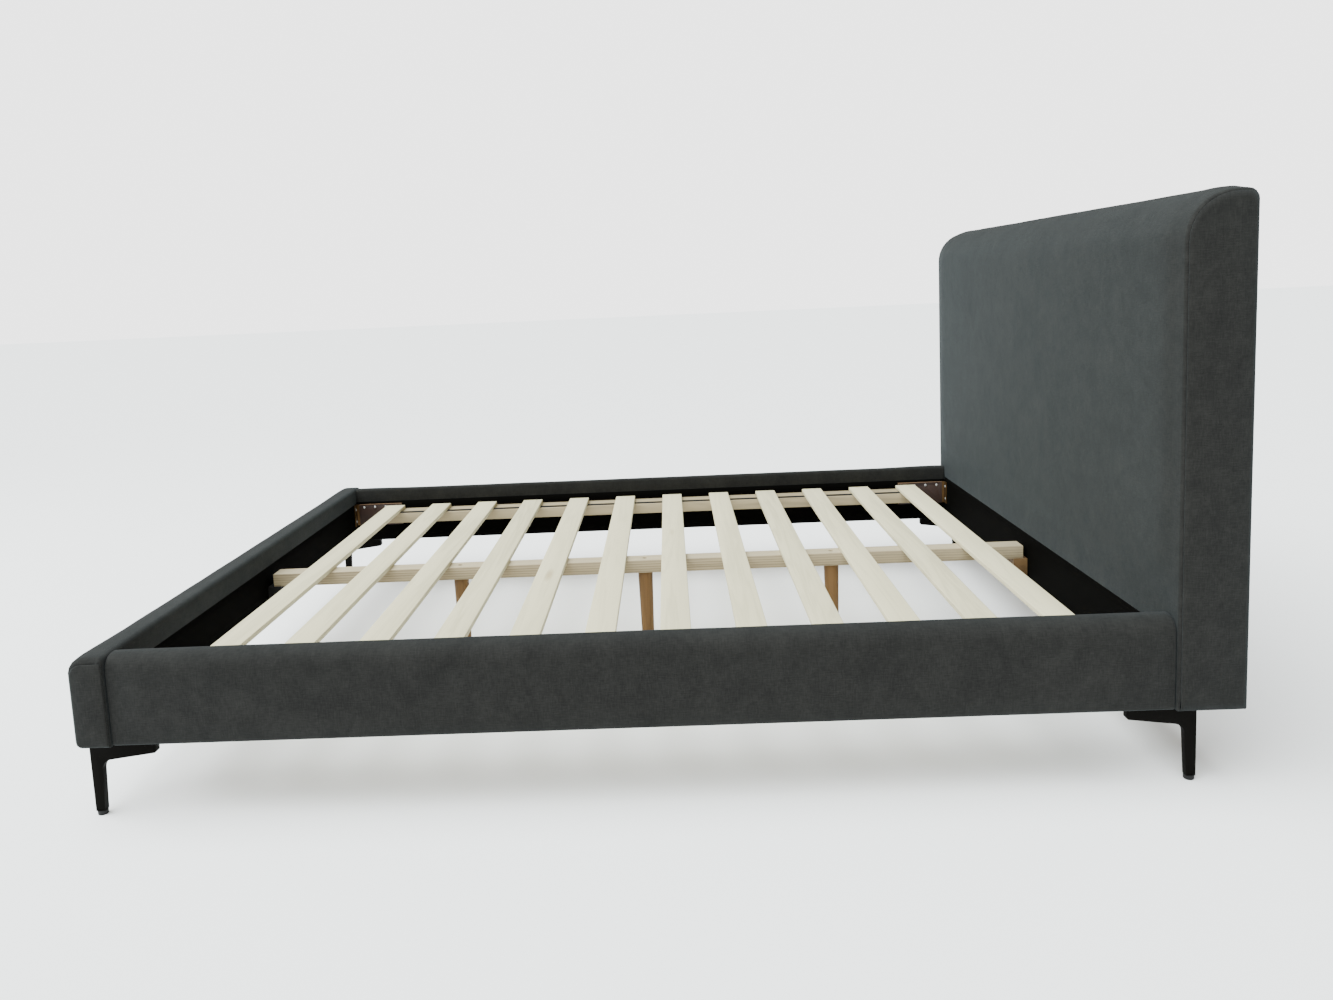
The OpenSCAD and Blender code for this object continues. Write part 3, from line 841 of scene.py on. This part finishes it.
def board_tree():
    """A planed board along X with rounded long edges and a slight bow."""
    tree, g, inputs = new_tree(
        "Planed board",
        {"Length": 1.5, "Width": 0.066, "Thickness": 0.012, "Edge": 0.002, "Bow": 0.001, "Board": 0,
         "Centre X": 0.0, "Centre Y": 0.0, "Centre Z": 0.0},
    )
    half = inputs["Length"] * 0.5
    start = g.node("ShaderNodeCombineXYZ", sockets={0: half * -1.0})
    end = g.node("ShaderNodeCombineXYZ", sockets={0: half})
    line = g.node("GeometryNodeCurvePrimitiveLine", sockets={"Start": start, "End": end})
    line = g.node("GeometryNodeResampleCurve", sockets={"Curve": line, "Count": 25})
    place = g.node("GeometryNodeInputPosition")
    x = g.xyz(place)[0]
    seed = g.node("ShaderNodeCombineXYZ", sockets={0: x * 1.3, 1: inputs["Board"] * 5.3})
    drift = g.node("ShaderNodeTexNoise", sockets={"Vector": seed, "Scale": 1.0, "Detail": 1.0}, out="Color")
    drift = g.vector("SUBTRACT", drift, (0.5, 0.5, 0.5))
    bow = g.node("ShaderNodeVectorMath", {"operation": "SCALE"}, {0: drift, "Scale": inputs["Bow"] * 2.0})
    bow = g.vector("MULTIPLY", bow, (0, 1, 0.3))
    line = g.node("GeometryNodeSetPosition", sockets={"Geometry": line, "Offset": bow})
    profile = g.node(
        "GeometryNodeCurvePrimitiveQuadrilateral",
        sockets={"Width": inputs["Width"], "Height": inputs["Thickness"]},
    )
    profile = g.node(
        "GeometryNodeFilletCurve",
        {"mode": "POLY"},
        {"Curve": profile, "Radius": inputs["Edge"], "Count": 3, "Limit Radius": True},
    )
    board = g.node(
        "GeometryNodeCurveToMesh", sockets={"Curve": line, "Profile Curve": profile, "Fill Caps": True}
    )
    centre = g.node(
        "ShaderNodeCombineXYZ", sockets={0: inputs["Centre X"], 1: inputs["Centre Y"], 2: inputs["Centre Z"]}
    )
    board = g.node("GeometryNodeTransform", sockets={"Geometry": board, "Translation": centre})
    board = g.node(
        "GeometryNodeStoreNamedAttribute",
        {"data_type": "FLOAT", "domain": "POINT"},
        {"Geometry": board, "Name": "board", "Value": inputs["Board"] * 1.0},
    )
    return close_tree(g, inputs, board)


def screw_tree():
    """A pan-head screw with a cross recess on every point, pointing along the point's axis."""
    tree, g, inputs = new_tree(
        "Pan-head screw", {"Head radius": 0.004, "Head height": 0.002, "Shank radius": 0.002, "Shank": 0.026}
    )
    ball = g.node(
        "GeometryNodeMeshUVSphere", sockets={"Segments": 18, "Rings": 10, "Radius": inputs["Head radius"]}
    )
    flat = g.node(
        "ShaderNodeCombineXYZ", sockets={0: 1.0, 1: 1.0, 2: inputs["Head height"] / inputs["Head radius"]}
    )
    head = g.node("GeometryNodeTransform", sockets={"Geometry": ball, "Scale": flat})
    arm, slot = inputs["Head radius"] * 1.15, inputs["Head radius"] * 0.26
    lift = g.node("ShaderNodeCombineXYZ", sockets={2: inputs["Head height"]})
    recess = []
    for size in ((arm, slot), (slot, arm)):
        bar = g.node(
            "GeometryNodeMeshCube",
            sockets={"Size": g.node(
                "ShaderNodeCombineXYZ", sockets={0: size[0], 1: size[1], 2: inputs["Head height"] * 1.1}
            )},
        )
        recess.append(g.node("GeometryNodeTransform", sockets={"Geometry": bar, "Translation": lift}))
    for bar in recess:
        head = g.node("GeometryNodeMeshBoolean", {"operation": "DIFFERENCE"}, {"Mesh 1": head, "Mesh 2": bar})
    shank = g.node(
        "GeometryNodeMeshCylinder",
        sockets={"Vertices": 12, "Radius": inputs["Shank radius"], "Depth": inputs["Shank"]},
    )
    sunk = g.node("ShaderNodeCombineXYZ", sockets={2: inputs["Shank"] * -0.5})
    shank = g.node("GeometryNodeTransform", sockets={"Geometry": shank, "Translation": sunk})
    screw = g.join(head, shank)
    return place_on_points(tree, g, inputs, screw)


def staple_tree():
    """A staple's crown on every point, with its ends driven in."""
    tree, g, inputs = new_tree("Staple", {"Crown": 0.010, "Wire": 0.0005, "Bite": 0.0012})
    half = inputs["Crown"] * 0.5
    start = g.node("ShaderNodeCombineXYZ", sockets={0: half * -1.0})
    end = g.node("ShaderNodeCombineXYZ", sockets={0: half})
    wire = g.node("GeometryNodeCurvePrimitiveLine", sockets={"Start": start, "End": end})
    wire = g.node("GeometryNodeResampleCurve", sockets={"Curve": wire, "Count": 6})
    x = g.xyz(g.node("GeometryNodeInputPosition"))[0]
    dip = (x / half) ** 4.0 * inputs["Bite"] * -1.0
    wire = g.node(
        "GeometryNodeSetPosition",
        sockets={"Geometry": wire, "Offset": g.node("ShaderNodeCombineXYZ", sockets={2: dip})},
    )
    profile = g.node("GeometryNodeCurvePrimitiveCircle", sockets={"Resolution": 5, "Radius": inputs["Wire"]})
    crown = g.node(
        "GeometryNodeCurveToMesh", sockets={"Curve": wire, "Profile Curve": profile, "Fill Caps": True}
    )
    return place_on_points(tree, g, inputs, crown)


def place_on_points(tree, g, inputs, shape):
    """Puts a shape on the incoming points: its Z along their axis, turned about it by their spin."""
    axis = g.node("GeometryNodeInputNamedAttribute", {"data_type": "FLOAT_VECTOR"}, {"Name": "axis"})
    spin = g.node("GeometryNodeInputNamedAttribute", {"data_type": "FLOAT"}, {"Name": "spin"})
    aim = g.node("FunctionNodeAlignRotationToVector", {"axis": "Z"}, {"Vector": axis})
    turn = g.node(
        "FunctionNodeAxisAngleToRotation", sockets={"Axis": (0, 0, 1), "Angle": spin}
    )
    turned = g.node(
        "FunctionNodeRotateRotation", {"rotation_space": "LOCAL"}, {"Rotation": aim, "Rotate By": turn}
    )
    placed = g.node(
        "GeometryNodeInstanceOnPoints",
        sockets={"Points": inputs["Geometry"], "Instance": shape, "Rotation": turned},
    )
    return close_tree(g, inputs, placed)


def point_mesh(name, places, axes, spins):
    """Loose points that carry an axis and a spin."""
    mesh = bpy.data.meshes.new(name)
    mesh.from_pydata([tuple(p) for p in places], [], [])
    axis = mesh.attributes.new("axis", "FLOAT_VECTOR", "POINT")
    axis.data.foreach_set("vector", np.array(axes, np.float32).ravel())
    spin = mesh.attributes.new("spin", "FLOAT", "POINT")
    spin.data.foreach_set("value", np.array(spins, np.float32))
    return mesh


# ---- padded pieces ----


def box_of(*nodes):
    """Lowest and highest corner of several CAD nodes together."""
    boxes = [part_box(n) for n in nodes]
    return (
        np.array([[*b[0]] for b in boxes]).min(0),
        np.array([[*b[1]] for b in boxes]).max(0),
    )


def settle_cloth(piece, held, cap):
    """Lets the cover swell over its foam, held by weight, and never further than the cap."""
    rest = np.array([v.co[:] for v in piece.data.vertices])
    group = piece.vertex_groups.new(name="held")
    for index, weight in enumerate(held):
        group.add([index], float(weight), "REPLACE")
    cloth = piece.modifiers.new("Cover", "CLOTH")
    cloth.settings.quality = 4
    cloth.settings.mass = 0.35
    cloth.settings.tension_stiffness = cloth.settings.compression_stiffness = 25
    cloth.settings.shear_stiffness = 10
    cloth.settings.bending_stiffness = 0.6
    cloth.settings.use_pressure = True
    cloth.settings.uniform_pressure_force = SWELL
    cloth.settings.shrink_min = -0.001
    cloth.settings.vertex_group_mass = "held"
    cloth.settings.pin_stiffness = 0.6
    cloth.settings.effector_weights.gravity = 0
    cloth.collision_settings.use_collision = False
    cloth.point_cache.frame_start, cloth.point_cache.frame_end = 1, SETTLE_FRAMES
    for step in range(1, SETTLE_FRAMES + 1):
        bpy.context.scene.frame_set(step)
    made = piece.evaluated_get(bpy.context.evaluated_depsgraph_get()).to_mesh()
    moved = np.array([v.co[:] for v in made.vertices]) - rest
    edges = np.array([e.vertices[:] for e in piece.data.edges])
    for _ in range(SMOOTHINGS):
        total, count = np.zeros_like(moved), np.zeros(len(moved))
        for near, other in (edges.T, edges.T[::-1]):
            np.add.at(total, near, moved[other])
            np.add.at(count, near, 1)
        moved = (moved + total / count[:, None]) / 2
    moved *= (1 - np.array(held))[:, None]
    far = np.linalg.norm(moved, axis=1)
    moved *= (np.minimum(far, cap) / np.maximum(far, 1e-9))[:, None]
    piece.modifiers.remove(cloth)
    piece.vertex_groups.clear()
    bpy.context.scene.frame_set(1)
    piece.data.vertices.foreach_set("co", (rest + moved).ravel())
    piece.data.update()


class BED_OT_headboard(Operator):
    """Makes the headboard's velvet pad, its sewn gussets and the dust cloth on its back"""

    bl_idname = "bed.headboard"
    bl_label = "Headboard"

    def execute(self, context):
        cloth = context.scene.bed_upholstery
        low, high = box_of("headboard_side_left", "headboard_side_right")
        depth, height = high[1] - low[1], high[2] - low[2]
        lining_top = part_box("headboard_lining")[1][2] - low[2]
        rail_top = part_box("side_rail_cover_left")[1][2] - low[2]
        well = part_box("headboard_lining")[1][0]
        round_over = cloth.seam * 1.3
        radii = (cloth.hem, cloth.hem, cloth.head_back, cloth.head_roll)
        outline = section(depth, height - cloth.head_crown, radii, cloth.cell)
        ends = (low[0] + 0.005, high[0] - 0.005)

        def place(x, a, b):
            return (x, low[1] + a, low[2] + b)

        def rise(points, normals, x, reach):
            crown = cloth.head_crown * smoothstep(reach, 0, 0.07)
            face = cloth.face_puff * smoothstep(reach, 0, 0.09)
            top = np.maximum(normals[:, 1], 0) * (points[:, 1] > height / 2)
            front = np.maximum(-normals[:, 0], 0) * smoothstep(points[:, 1], rail_top + 0.01, rail_top + 0.12)
            lined = (normals[:, 0] < -0.9) * (points[:, 1] < lining_top) * (abs(x) < well)
            back = (normals[:, 0] > 0.9) * 0.001
            wave = [ripple((x, a * 0.5, b), 0.21) + 0.5 * ripple((x, a, b), 0.075) for a, b in points]
            return (
                crown * top + face * front - 0.0018 * lined - back
                + 0.0007 * np.array(wave) * np.maximum(top, front) * smoothstep(reach, 0, 0.03)
            )

        pad = padded_length("headboard_pad", outline, ends, place, rise, cloth.cell, round_over)
        spots = np.array([v.co[:] for v in pad.data.vertices])
        inner = smoothstep(np.minimum(spots[:, 0] - ends[0], ends[1] - spots[:, 0]), 0.004, 0.05)
        free = inner * smoothstep(spots[:, 2], low[2] + rail_top + 0.006, low[2] + rail_top + 0.08)
        free *= smoothstep(high[1] - spots[:, 1], 0.008, 0.03)
        settle_cloth(pad, 1 - 0.96 * free, 0.0045)
        dress(pad, "velvet", "velvet", FRAME_BODY, "headboard_cover", "headboard_foam")

        inset = round_over * 0.62
        for side, sign in SIDES.items():
            gusset = end_panel(
                "headboard_gusset_" + side,
                inset_outline((depth, height - cloth.head_crown), radii, inset, cloth.cell),
                ((depth / 2, depth), (depth / 2, height - depth)),
                lambda a, b, h, sign=sign: (sign * (ends[1] + 0.003 + h), low[1] + a, low[2] + b),
                0.005, cloth.gusset_puff, 0.004,
            )
            dress(gusset, "velvet", "velvet", FRAME_BODY, "headboard_side_" + side)

        low, high = box_of("headboard_back_cloth")
        size = high - low
        dust = cloth_sheet(
            "headboard_dust_cloth", (high[0], high[1], low[2]), (-size[0], 0, 0), (0, 0, size[2]),
            cloth.lining_cloth, 0.03, 0.0008,
        )
        dress(dust, "dust_cloth", "lining", FRAME_BODY, "headboard_back_cloth")
        rim = 0.009
        pitch = context.scene.bed_metalwork.staple_pitch
        places, spins = [], []
        for z in (low[2] + rim, high[2] - rim):
            for x in np.linspace(low[0] + 0.03, high[0] - 0.03, round(size[0] / pitch)):
                places.append((x, high[1] + 0.0004, z))
                spins.append(0.12 * ripple((x, z, 0), 0.02))
        for x in (low[0] + rim, high[0] - rim):
            for z in np.linspace(low[2] + 0.03, high[2] - 0.03, round(size[2] / pitch)):
                places.append((x, high[1] + 0.0004, z))
                spins.append(math.pi / 2 + 0.12 * ripple((x, z, 0), 0.02))
        points = point_mesh("dust_cloth_staples", places, [(0, 1, 0)] * len(places), spins)
        staples = grow("dust_cloth_staples", staple_tree(), "steel", {}, points)
        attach(staples, FRAME_BODY)
        return {"FINISHED"}


def inset_outline(outline_size, radii, inset, cell):
    """The outline of a sewn end panel, inside the roll of the pad that it closes."""
    width, height = outline_size
    points, normals = section(
        width - 2 * inset, height - 2 * inset, [max(0.004, r - inset) for r in radii], cell
    )
    return points + inset, normals


class BED_OT_footboard(Operator):
    """Makes the footboard's velvet pad and its sewn ends"""

    bl_idname = "bed.footboard"
    bl_label = "Footboard"

    def execute(self, context):
        cloth = context.scene.bed_upholstery
        low, high = box_of("footboard_end_left", "footboard_end_right")
        depth, height = high[1] - low[1], high[2] - low[2]
        lining_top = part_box("footboard_lining")[1][2] - low[2]
        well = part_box("footboard_lining")[1][0]
        radii = (cloth.foot_hem, cloth.hem, cloth.inner, cloth.foot_roll)
        outline = section(depth, height, radii, cloth.cell * 0.8)
        ends = (low[0] + 0.004, high[0] - 0.004)

        def place(x, a, b):
            return (x, low[1] + a, low[2] + b)

        def rise(points, normals, x, reach):
            inward = smoothstep(reach, 0, 0.05)
            outer = np.maximum(-normals[:, 0], 0) * smoothstep(points[:, 1], 0, 0.06) * inward
            top = np.maximum(normals[:, 1], 0) * (points[:, 1] > height / 2) * inward
            lined = (normals[:, 0] > 0.9) * (points[:, 1] < lining_top) * (abs(x) < well)
            wave = np.array([ripple((x, a, b), 0.17) + 0.4 * ripple((x, a, b), 0.06) for a, b in points])
            return (
                cloth.face_puff * 1.3 * outer + cloth.face_puff * 0.4 * top - 0.0018 * lined
                + 0.0008 * wave * (outer + 0.5 * top)
            )

        points, normals = outline
        over = cloth.seam - cloth.seam * 0.7 * np.maximum(normals[:, 0], 0)
        over += cloth.end_seam * np.maximum(normals[:, 1], 0) * (points[:, 1] > height / 2)
        pad = padded_length("footboard_pad", outline, ends, place, rise, cloth.cell * 0.8, over)
        spots = np.array([v.co[:] for v in pad.data.vertices])
        inner = smoothstep(np.minimum(spots[:, 0] - ends[0], ends[1] - spots[:, 0]), 0.004, 0.04)
        free = inner * smoothstep(spots[:, 2], low[2] + 0.004, low[2] + 0.03)
        free *= smoothstep(high[1] - spots[:, 1], 0.006, 0.03)
        settle_cloth(pad, 1 - 0.96 * free, 0.004)
        dress(pad, "velvet", "velvet", FRAME_BODY, "footboard_cover", "footboard_foam")
        for side, sign in SIDES.items():
            panel = end_panel(
                "footboard_end_panel_" + side,
                inset_outline(
                    (depth + cloth.seam * 0.6, height - cloth.end_seam), radii,
                    cloth.seam * 0.8, cloth.cell * 0.8,
                ),
                ((depth / 2, depth / 2), (depth / 2, height - depth / 2)),
                lambda a, b, h, sign=sign: (sign * (ends[1] + 0.0025 + h), low[1] + a, low[2] + b),
                0.004, cloth.gusset_puff * 0.6, 0.004,
            )
            dress(panel, "velvet", "velvet", FRAME_BODY, "footboard_end_" + side)
        return {"FINISHED"}


class BED_OT_side_rails(Operator):
    """Makes the velvet pads of the two side rails"""

    bl_idname = "bed.side_rails"
    bl_label = "Side rails"

    def execute(self, context):
        cloth = context.scene.bed_upholstery
        low, high = box_of("side_rail_cover_right")
        depth, height = high[0] - low[0], high[2] - low[2]
        lining_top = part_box("side_rail_lining_right")[1][2] - low[2]
        radii = (cloth.hem, cloth.rail_hem, cloth.rail_roll, cloth.inner)
        outline = section(depth, height, radii, cloth.cell * 0.8)
        ends = (low[1], high[1])
        for side, sign in SIDES.items():

            def place(y, a, b, sign=sign):
                return (sign * (low[0] + a), y, low[2] + b)

            def rise(points, normals, y, reach, sign=sign):
                inward = smoothstep(reach, 0, 0.05)
                outer = np.maximum(normals[:, 0], 0) * smoothstep(points[:, 1], 0, 0.05) * inward
                top = np.maximum(normals[:, 1], 0) * (points[:, 1] > height / 2) * inward
                lined = (normals[:, 0] < -0.9) * (points[:, 1] < lining_top)
                wave = np.array([
                    ripple((sign, y, a + b), 0.19) + 0.4 * ripple((sign, y, a + b), 0.06) for a, b in points
                ])
                return (
                    cloth.face_puff * 0.5 * outer + cloth.face_puff * 0.2 * top - 0.0018 * lined
                    + 0.0008 * wave * (outer + 0.6 * top)
                )

            pad = padded_length(
                "side_rail_pad_" + side, outline, ends, place, rise, cloth.cell * 0.8, cloth.seam * 0.4
            )
            spots = np.array([v.co[:] for v in pad.data.vertices])
            inner = smoothstep(np.minimum(spots[:, 1] - ends[0], ends[1] - spots[:, 1]), 0.004, 0.04)
            free = inner * smoothstep(spots[:, 2], low[2] + 0.004, low[2] + 0.03)
            free *= smoothstep(sign * spots[:, 0] - low[0], 0.006, 0.02)
            settle_cloth(pad, 1 - 0.96 * free, 0.0035)
            dress(
                pad, "velvet", "velvet", FRAME_BODY, "side_rail_cover_" + side, "side_rail_foam_" + side
            )
        return {"FINISHED"}


class BED_OT_linings(Operator):
    """Stretches the black linings over the inner faces"""

    bl_idname = "bed.linings"
    bl_label = "Linings"

    def execute(self, context):
        cloth = context.scene.bed_upholstery
        pads = {
            "headboard_lining": "headboard_pad",
            "footboard_lining": "footboard_pad",
            "side_rail_lining_left": "side_rail_pad_left",
            "side_rail_lining_right": "side_rail_pad_right",
        }
        for node, pad in pads.items():
            low, high = box_of(node)
            size = high - low
            rise = (0, 0, size[2])
            corner, across = {
                "headboard_lining": ((low[0], low[1], low[2]), (size[0], 0, 0)),
                "footboard_lining": ((high[0], high[1], low[2]), (-size[0], 0, 0)),
                "side_rail_lining_left": ((high[0], low[1], low[2]), (0, size[1], 0)),
                "side_rail_lining_right": ((low[0], high[1], low[2]), (0, -size[1], 0)),
            }[node]
            cover = cloth_sheet(node + "_cloth", corner, across, rise, cloth.lining_cloth, 0.02, 0.0003)
            dress(cover, "lining", "lining", FRAME_BODY, node)
        return {"FINISHED"}


# ---- woodwork ----


class BED_OT_slats(Operator):
    """Planes the slats, each from another board"""

    bl_idname = "bed.slats"
    bl_label = "Slats"

    def execute(self, context):
        wood = context.scene.bed_woodwork
        tree = board_tree()
        for number, node in enumerate(SLATS, 1):
            low, high = box_of(node)
            size, middle = high - low, (high + low) / 2
            board = grow(
                f"slat_board_{number:02d}", tree, "slat",
                {
                    "Length": float(size[0]), "Width": float(size[1]), "Thickness": float(size[2]),
                    "Edge": wood.slat_edge, "Bow": wood.slat_bow, "Board": number,
                    "Centre X": float(middle[0]), "Centre Y": float(middle[1]), "Centre Z": float(middle[2]),
                },
            )
            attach(board, FRAME_BODY)
            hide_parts(node)
        return {"FINISHED"}


def wear(finish_name, slot, edge, *nodes, segments=2):
    """Worn copies of CAD nodes, with a better finish."""
    for node in nodes:
        dress(worn_copy(node + "_worn", node, edge, segments), finish_name, slot, FRAME_BODY, node)


def refinish(finish_name, *nodes):
    """Gives CAD nodes a better finish."""
    for node in nodes:
        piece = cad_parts[node]
        if not piece.material_slots:
            piece.data.materials.append(None)
        for place in piece.material_slots:
            place.material = finish(finish_name)


class BED_OT_slat_support(Operator):
    """Finishes the ledgers, straps, beam, blocks and the boards inside the padding"""

    bl_idname = "bed.slat_support"
    bl_label = "Slat support"

    def execute(self, context):
        edge = context.scene.bed_woodwork.saw_edge
        wear("ledger", "pale_wood", edge, "slat_ledger_left", "slat_ledger_right")
        wear("beam", "pale_wood", edge * 0.7, "centre_beam")
        wear("block", "board_wood", edge, "beam_blocks")
        refinish("webbing", "slat_straps")
        refinish(
            "hidden_board", "headboard_frame", "headboard_panel", "footboard_board",
            "side_rail_board_left", "side_rail_board_right",
        )
        return {"FINISHED"}


class BED_OT_centre_legs(Operator):
    """Finishes the turned centre legs, their bolts and glides"""

    bl_idname = "bed.centre_legs"
    bl_label = "Centre legs"

    def execute(self, context):
        legs = [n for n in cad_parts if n.startswith("centre_leg_") and n != "centre_leg_bolts"]
        wear("leg", "leg_wood", context.scene.bed_woodwork.saw_edge, *sorted(legs))
        refinish("steel", "centre_leg_bolts")
        refinish("glide", *sorted(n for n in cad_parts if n.startswith("centre_glide_")))
        return {"FINISHED"}


# ---- fittings ----


class BED_OT_fittings(Operator):
    """Finishes the corner plates and brackets, and drives their screws"""

    bl_idname = "bed.fittings"
    bl_label = "Corner fittings"

    def execute(self, context):
        wear("film", "faced_plywood", 0.0008, "corner_plates")
        wear("zinc", "yellow_zinc", 0.0009, "corner_brackets")
        heads, axes, spins = [], [], []
        for low, high in islands("wood_screws"):
            size = high - low
            along = int(np.argmax(size))
            middle = (low + high) / 2
            if along == 0:
                facing = -math.copysign(1, middle[0])
            else:
                facing = -math.copysign(1, middle[1])
            head = middle.copy()
            head[along] = (high if facing > 0 else low)[along] - facing * 0.002
            axis = np.zeros(3)
            axis[along] = facing
            heads.append(head)
            axes.append(axis)
            spins.append(1.5 * ripple(head, 0.013))
        points = point_mesh("pan_head_screws", heads, axes, spins)
        screws = grow("pan_head_screws", screw_tree(), "steel", {}, points)
        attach(screws, FRAME_BODY)
        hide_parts("wood_screws")
        return {"FINISHED"}


class BED_OT_corner_legs(Operator):
    """Rounds the corner legs, and finishes their screws and glides"""

    bl_idname = "bed.corner_legs"
    bl_label = "Corner legs"

    def execute(self, context):
        edge = context.scene.bed_metalwork.leg_edge
        legs = ("leg_foot_left", "leg_foot_right", "leg_head_left", "leg_head_right")
        wear("powder", "black_metal", edge, *legs, segments=3)
        refinish("powder", "leg_screws")
        refinish("glide", *(leg.replace("leg", "glide") for leg in legs))
        return {"FINISHED"}


# ---- stage ----


def soft_sun(name, direction, spread, strength, tint):
    light = bpy.data.lights.new(name, "SUN")
    light.angle, light.energy, light.color = spread, strength, tint
    made = bpy.data.objects.new(name, light)
    made.rotation_euler = Vector(direction).to_track_quat("-Z", "Y").to_euler()
    bpy.context.scene.collection.objects.link(made)


def soft_light(name, place, aim, size, power):
    light = bpy.data.lights.new(name, "AREA")
    light.shape, light.size, light.energy = "SQUARE", size, power
    made = bpy.data.objects.new(name, light)
    made.location = place
    made.rotation_euler = (Vector(aim) - Vector(place)).to_track_quat("-Z", "Y").to_euler()
    bpy.context.scene.collection.objects.link(made)


class BED_OT_stage(Operator):
    """Sets the camera, the pale floor and the soft lights"""

    bl_idname = "bed.stage"
    bl_label = "Stage"

    def execute(self, context):
        stage = context.scene.bed_stage
        camera = bpy.data.cameras.new("Camera")
        camera.sensor_width, camera.lens = 36, stage.lens
        camera.shift_x, camera.shift_y = stage.shift
        camera.clip_end = 100
        made = bpy.data.objects.new("Camera", camera)
        context.scene.collection.objects.link(made)
        ahead, upward = Vector(stage.ahead).normalized(), Vector(stage.upward).normalized()
        right = ahead.cross(upward).normalized()
        upward = right.cross(ahead)
        turn = Matrix((right, upward, -ahead)).transposed()
        made.matrix_world = Matrix.Translation(stage.eye) @ turn.to_4x4()
        context.scene.camera = made

        half = 30
        floor = new_piece(
            "Floor", [(-half, -half, 0), (half, -half, 0), (half, half, 0), (-half, half, 0)], [(0, 1, 2, 3)],
            smooth=False,
        )
        f = Finish("pale_floor")
        grain = f.noise(f.object_place(), 3.0, detail=3)
        tone = tuple(stage.floor)
        f.shade(Base_Color=f.mix(grain, tuple(c * 0.985 for c in tone), tone), Roughness=0.7 + grain * 0.1)
        floor.data.materials.append(f.material)

        world = bpy.data.worlds.new("Surroundings")
        context.scene.world = world
        world.use_nodes = True
        g = Graph(world.node_tree)
        seen = g.node("ShaderNodeLightPath", out="Is Camera Ray")
        sky = world.node_tree.nodes["Background"]
        tint = g.mix(seen, tuple(stage.sky_tint), (1, 1, 1))
        world.node_tree.links.new(sky.inputs["Color"], tint.socket)
        world.node_tree.links.new(
            sky.inputs["Strength"], (seen * (stage.backdrop - stage.sky) + stage.sky).socket
        )
        soft_sun("Key", (-0.25, 0.42, -1), math.radians(70), stage.key, stage.key_tint)
        soft_light("Fill", (0.4, -4.6, 2.2), (0, 0.6, 0.5), 3.0, stage.fill)
        return {"FINISHED"}


class BED_PT_sidebar(Panel):
    bl_idname = "BED_PT_sidebar"
    bl_label = "Slatted bed"
    bl_space_type = "VIEW_3D"
    bl_region_type = "UI"
    bl_category = "Bed"

    def draw(self, context):
        for operator in OPERATORS:
            self.layout.operator(operator.bl_idname)
        for name in SETTINGS:
            settings = getattr(context.scene, name)
            box = self.layout.box()
            for key in settings.__annotations__:
                box.prop(settings, key)


OPERATORS = (
    BED_OT_stage,
    BED_OT_headboard,
    BED_OT_footboard,
    BED_OT_side_rails,
    BED_OT_linings,
    BED_OT_slats,
    BED_OT_slat_support,
    BED_OT_centre_legs,
    BED_OT_fittings,
    BED_OT_corner_legs,
)
SETTINGS = {
    "bed_upholstery": BedUpholstery,
    "bed_woodwork": BedWoodwork,
    "bed_metalwork": BedMetalwork,
    "bed_stage": BedStage,
}


def register():
    for made in (*SETTINGS.values(), *OPERATORS, BED_PT_sidebar):
        bpy.utils.register_class(made)
    for name, group in SETTINGS.items():
        setattr(bpy.types.Scene, name, PointerProperty(type=group))


def unregister():
    for name in SETTINGS:
        delattr(bpy.types.Scene, name)
    for made in reversed((*SETTINGS.values(), *OPERATORS, BED_PT_sidebar)):
        bpy.utils.unregister_class(made)


def main():
    register()
    for operator in OPERATORS:
        getattr(bpy.ops.bed, operator.bl_idname.split(".")[1])()


if __name__ == "__main__":
    main()
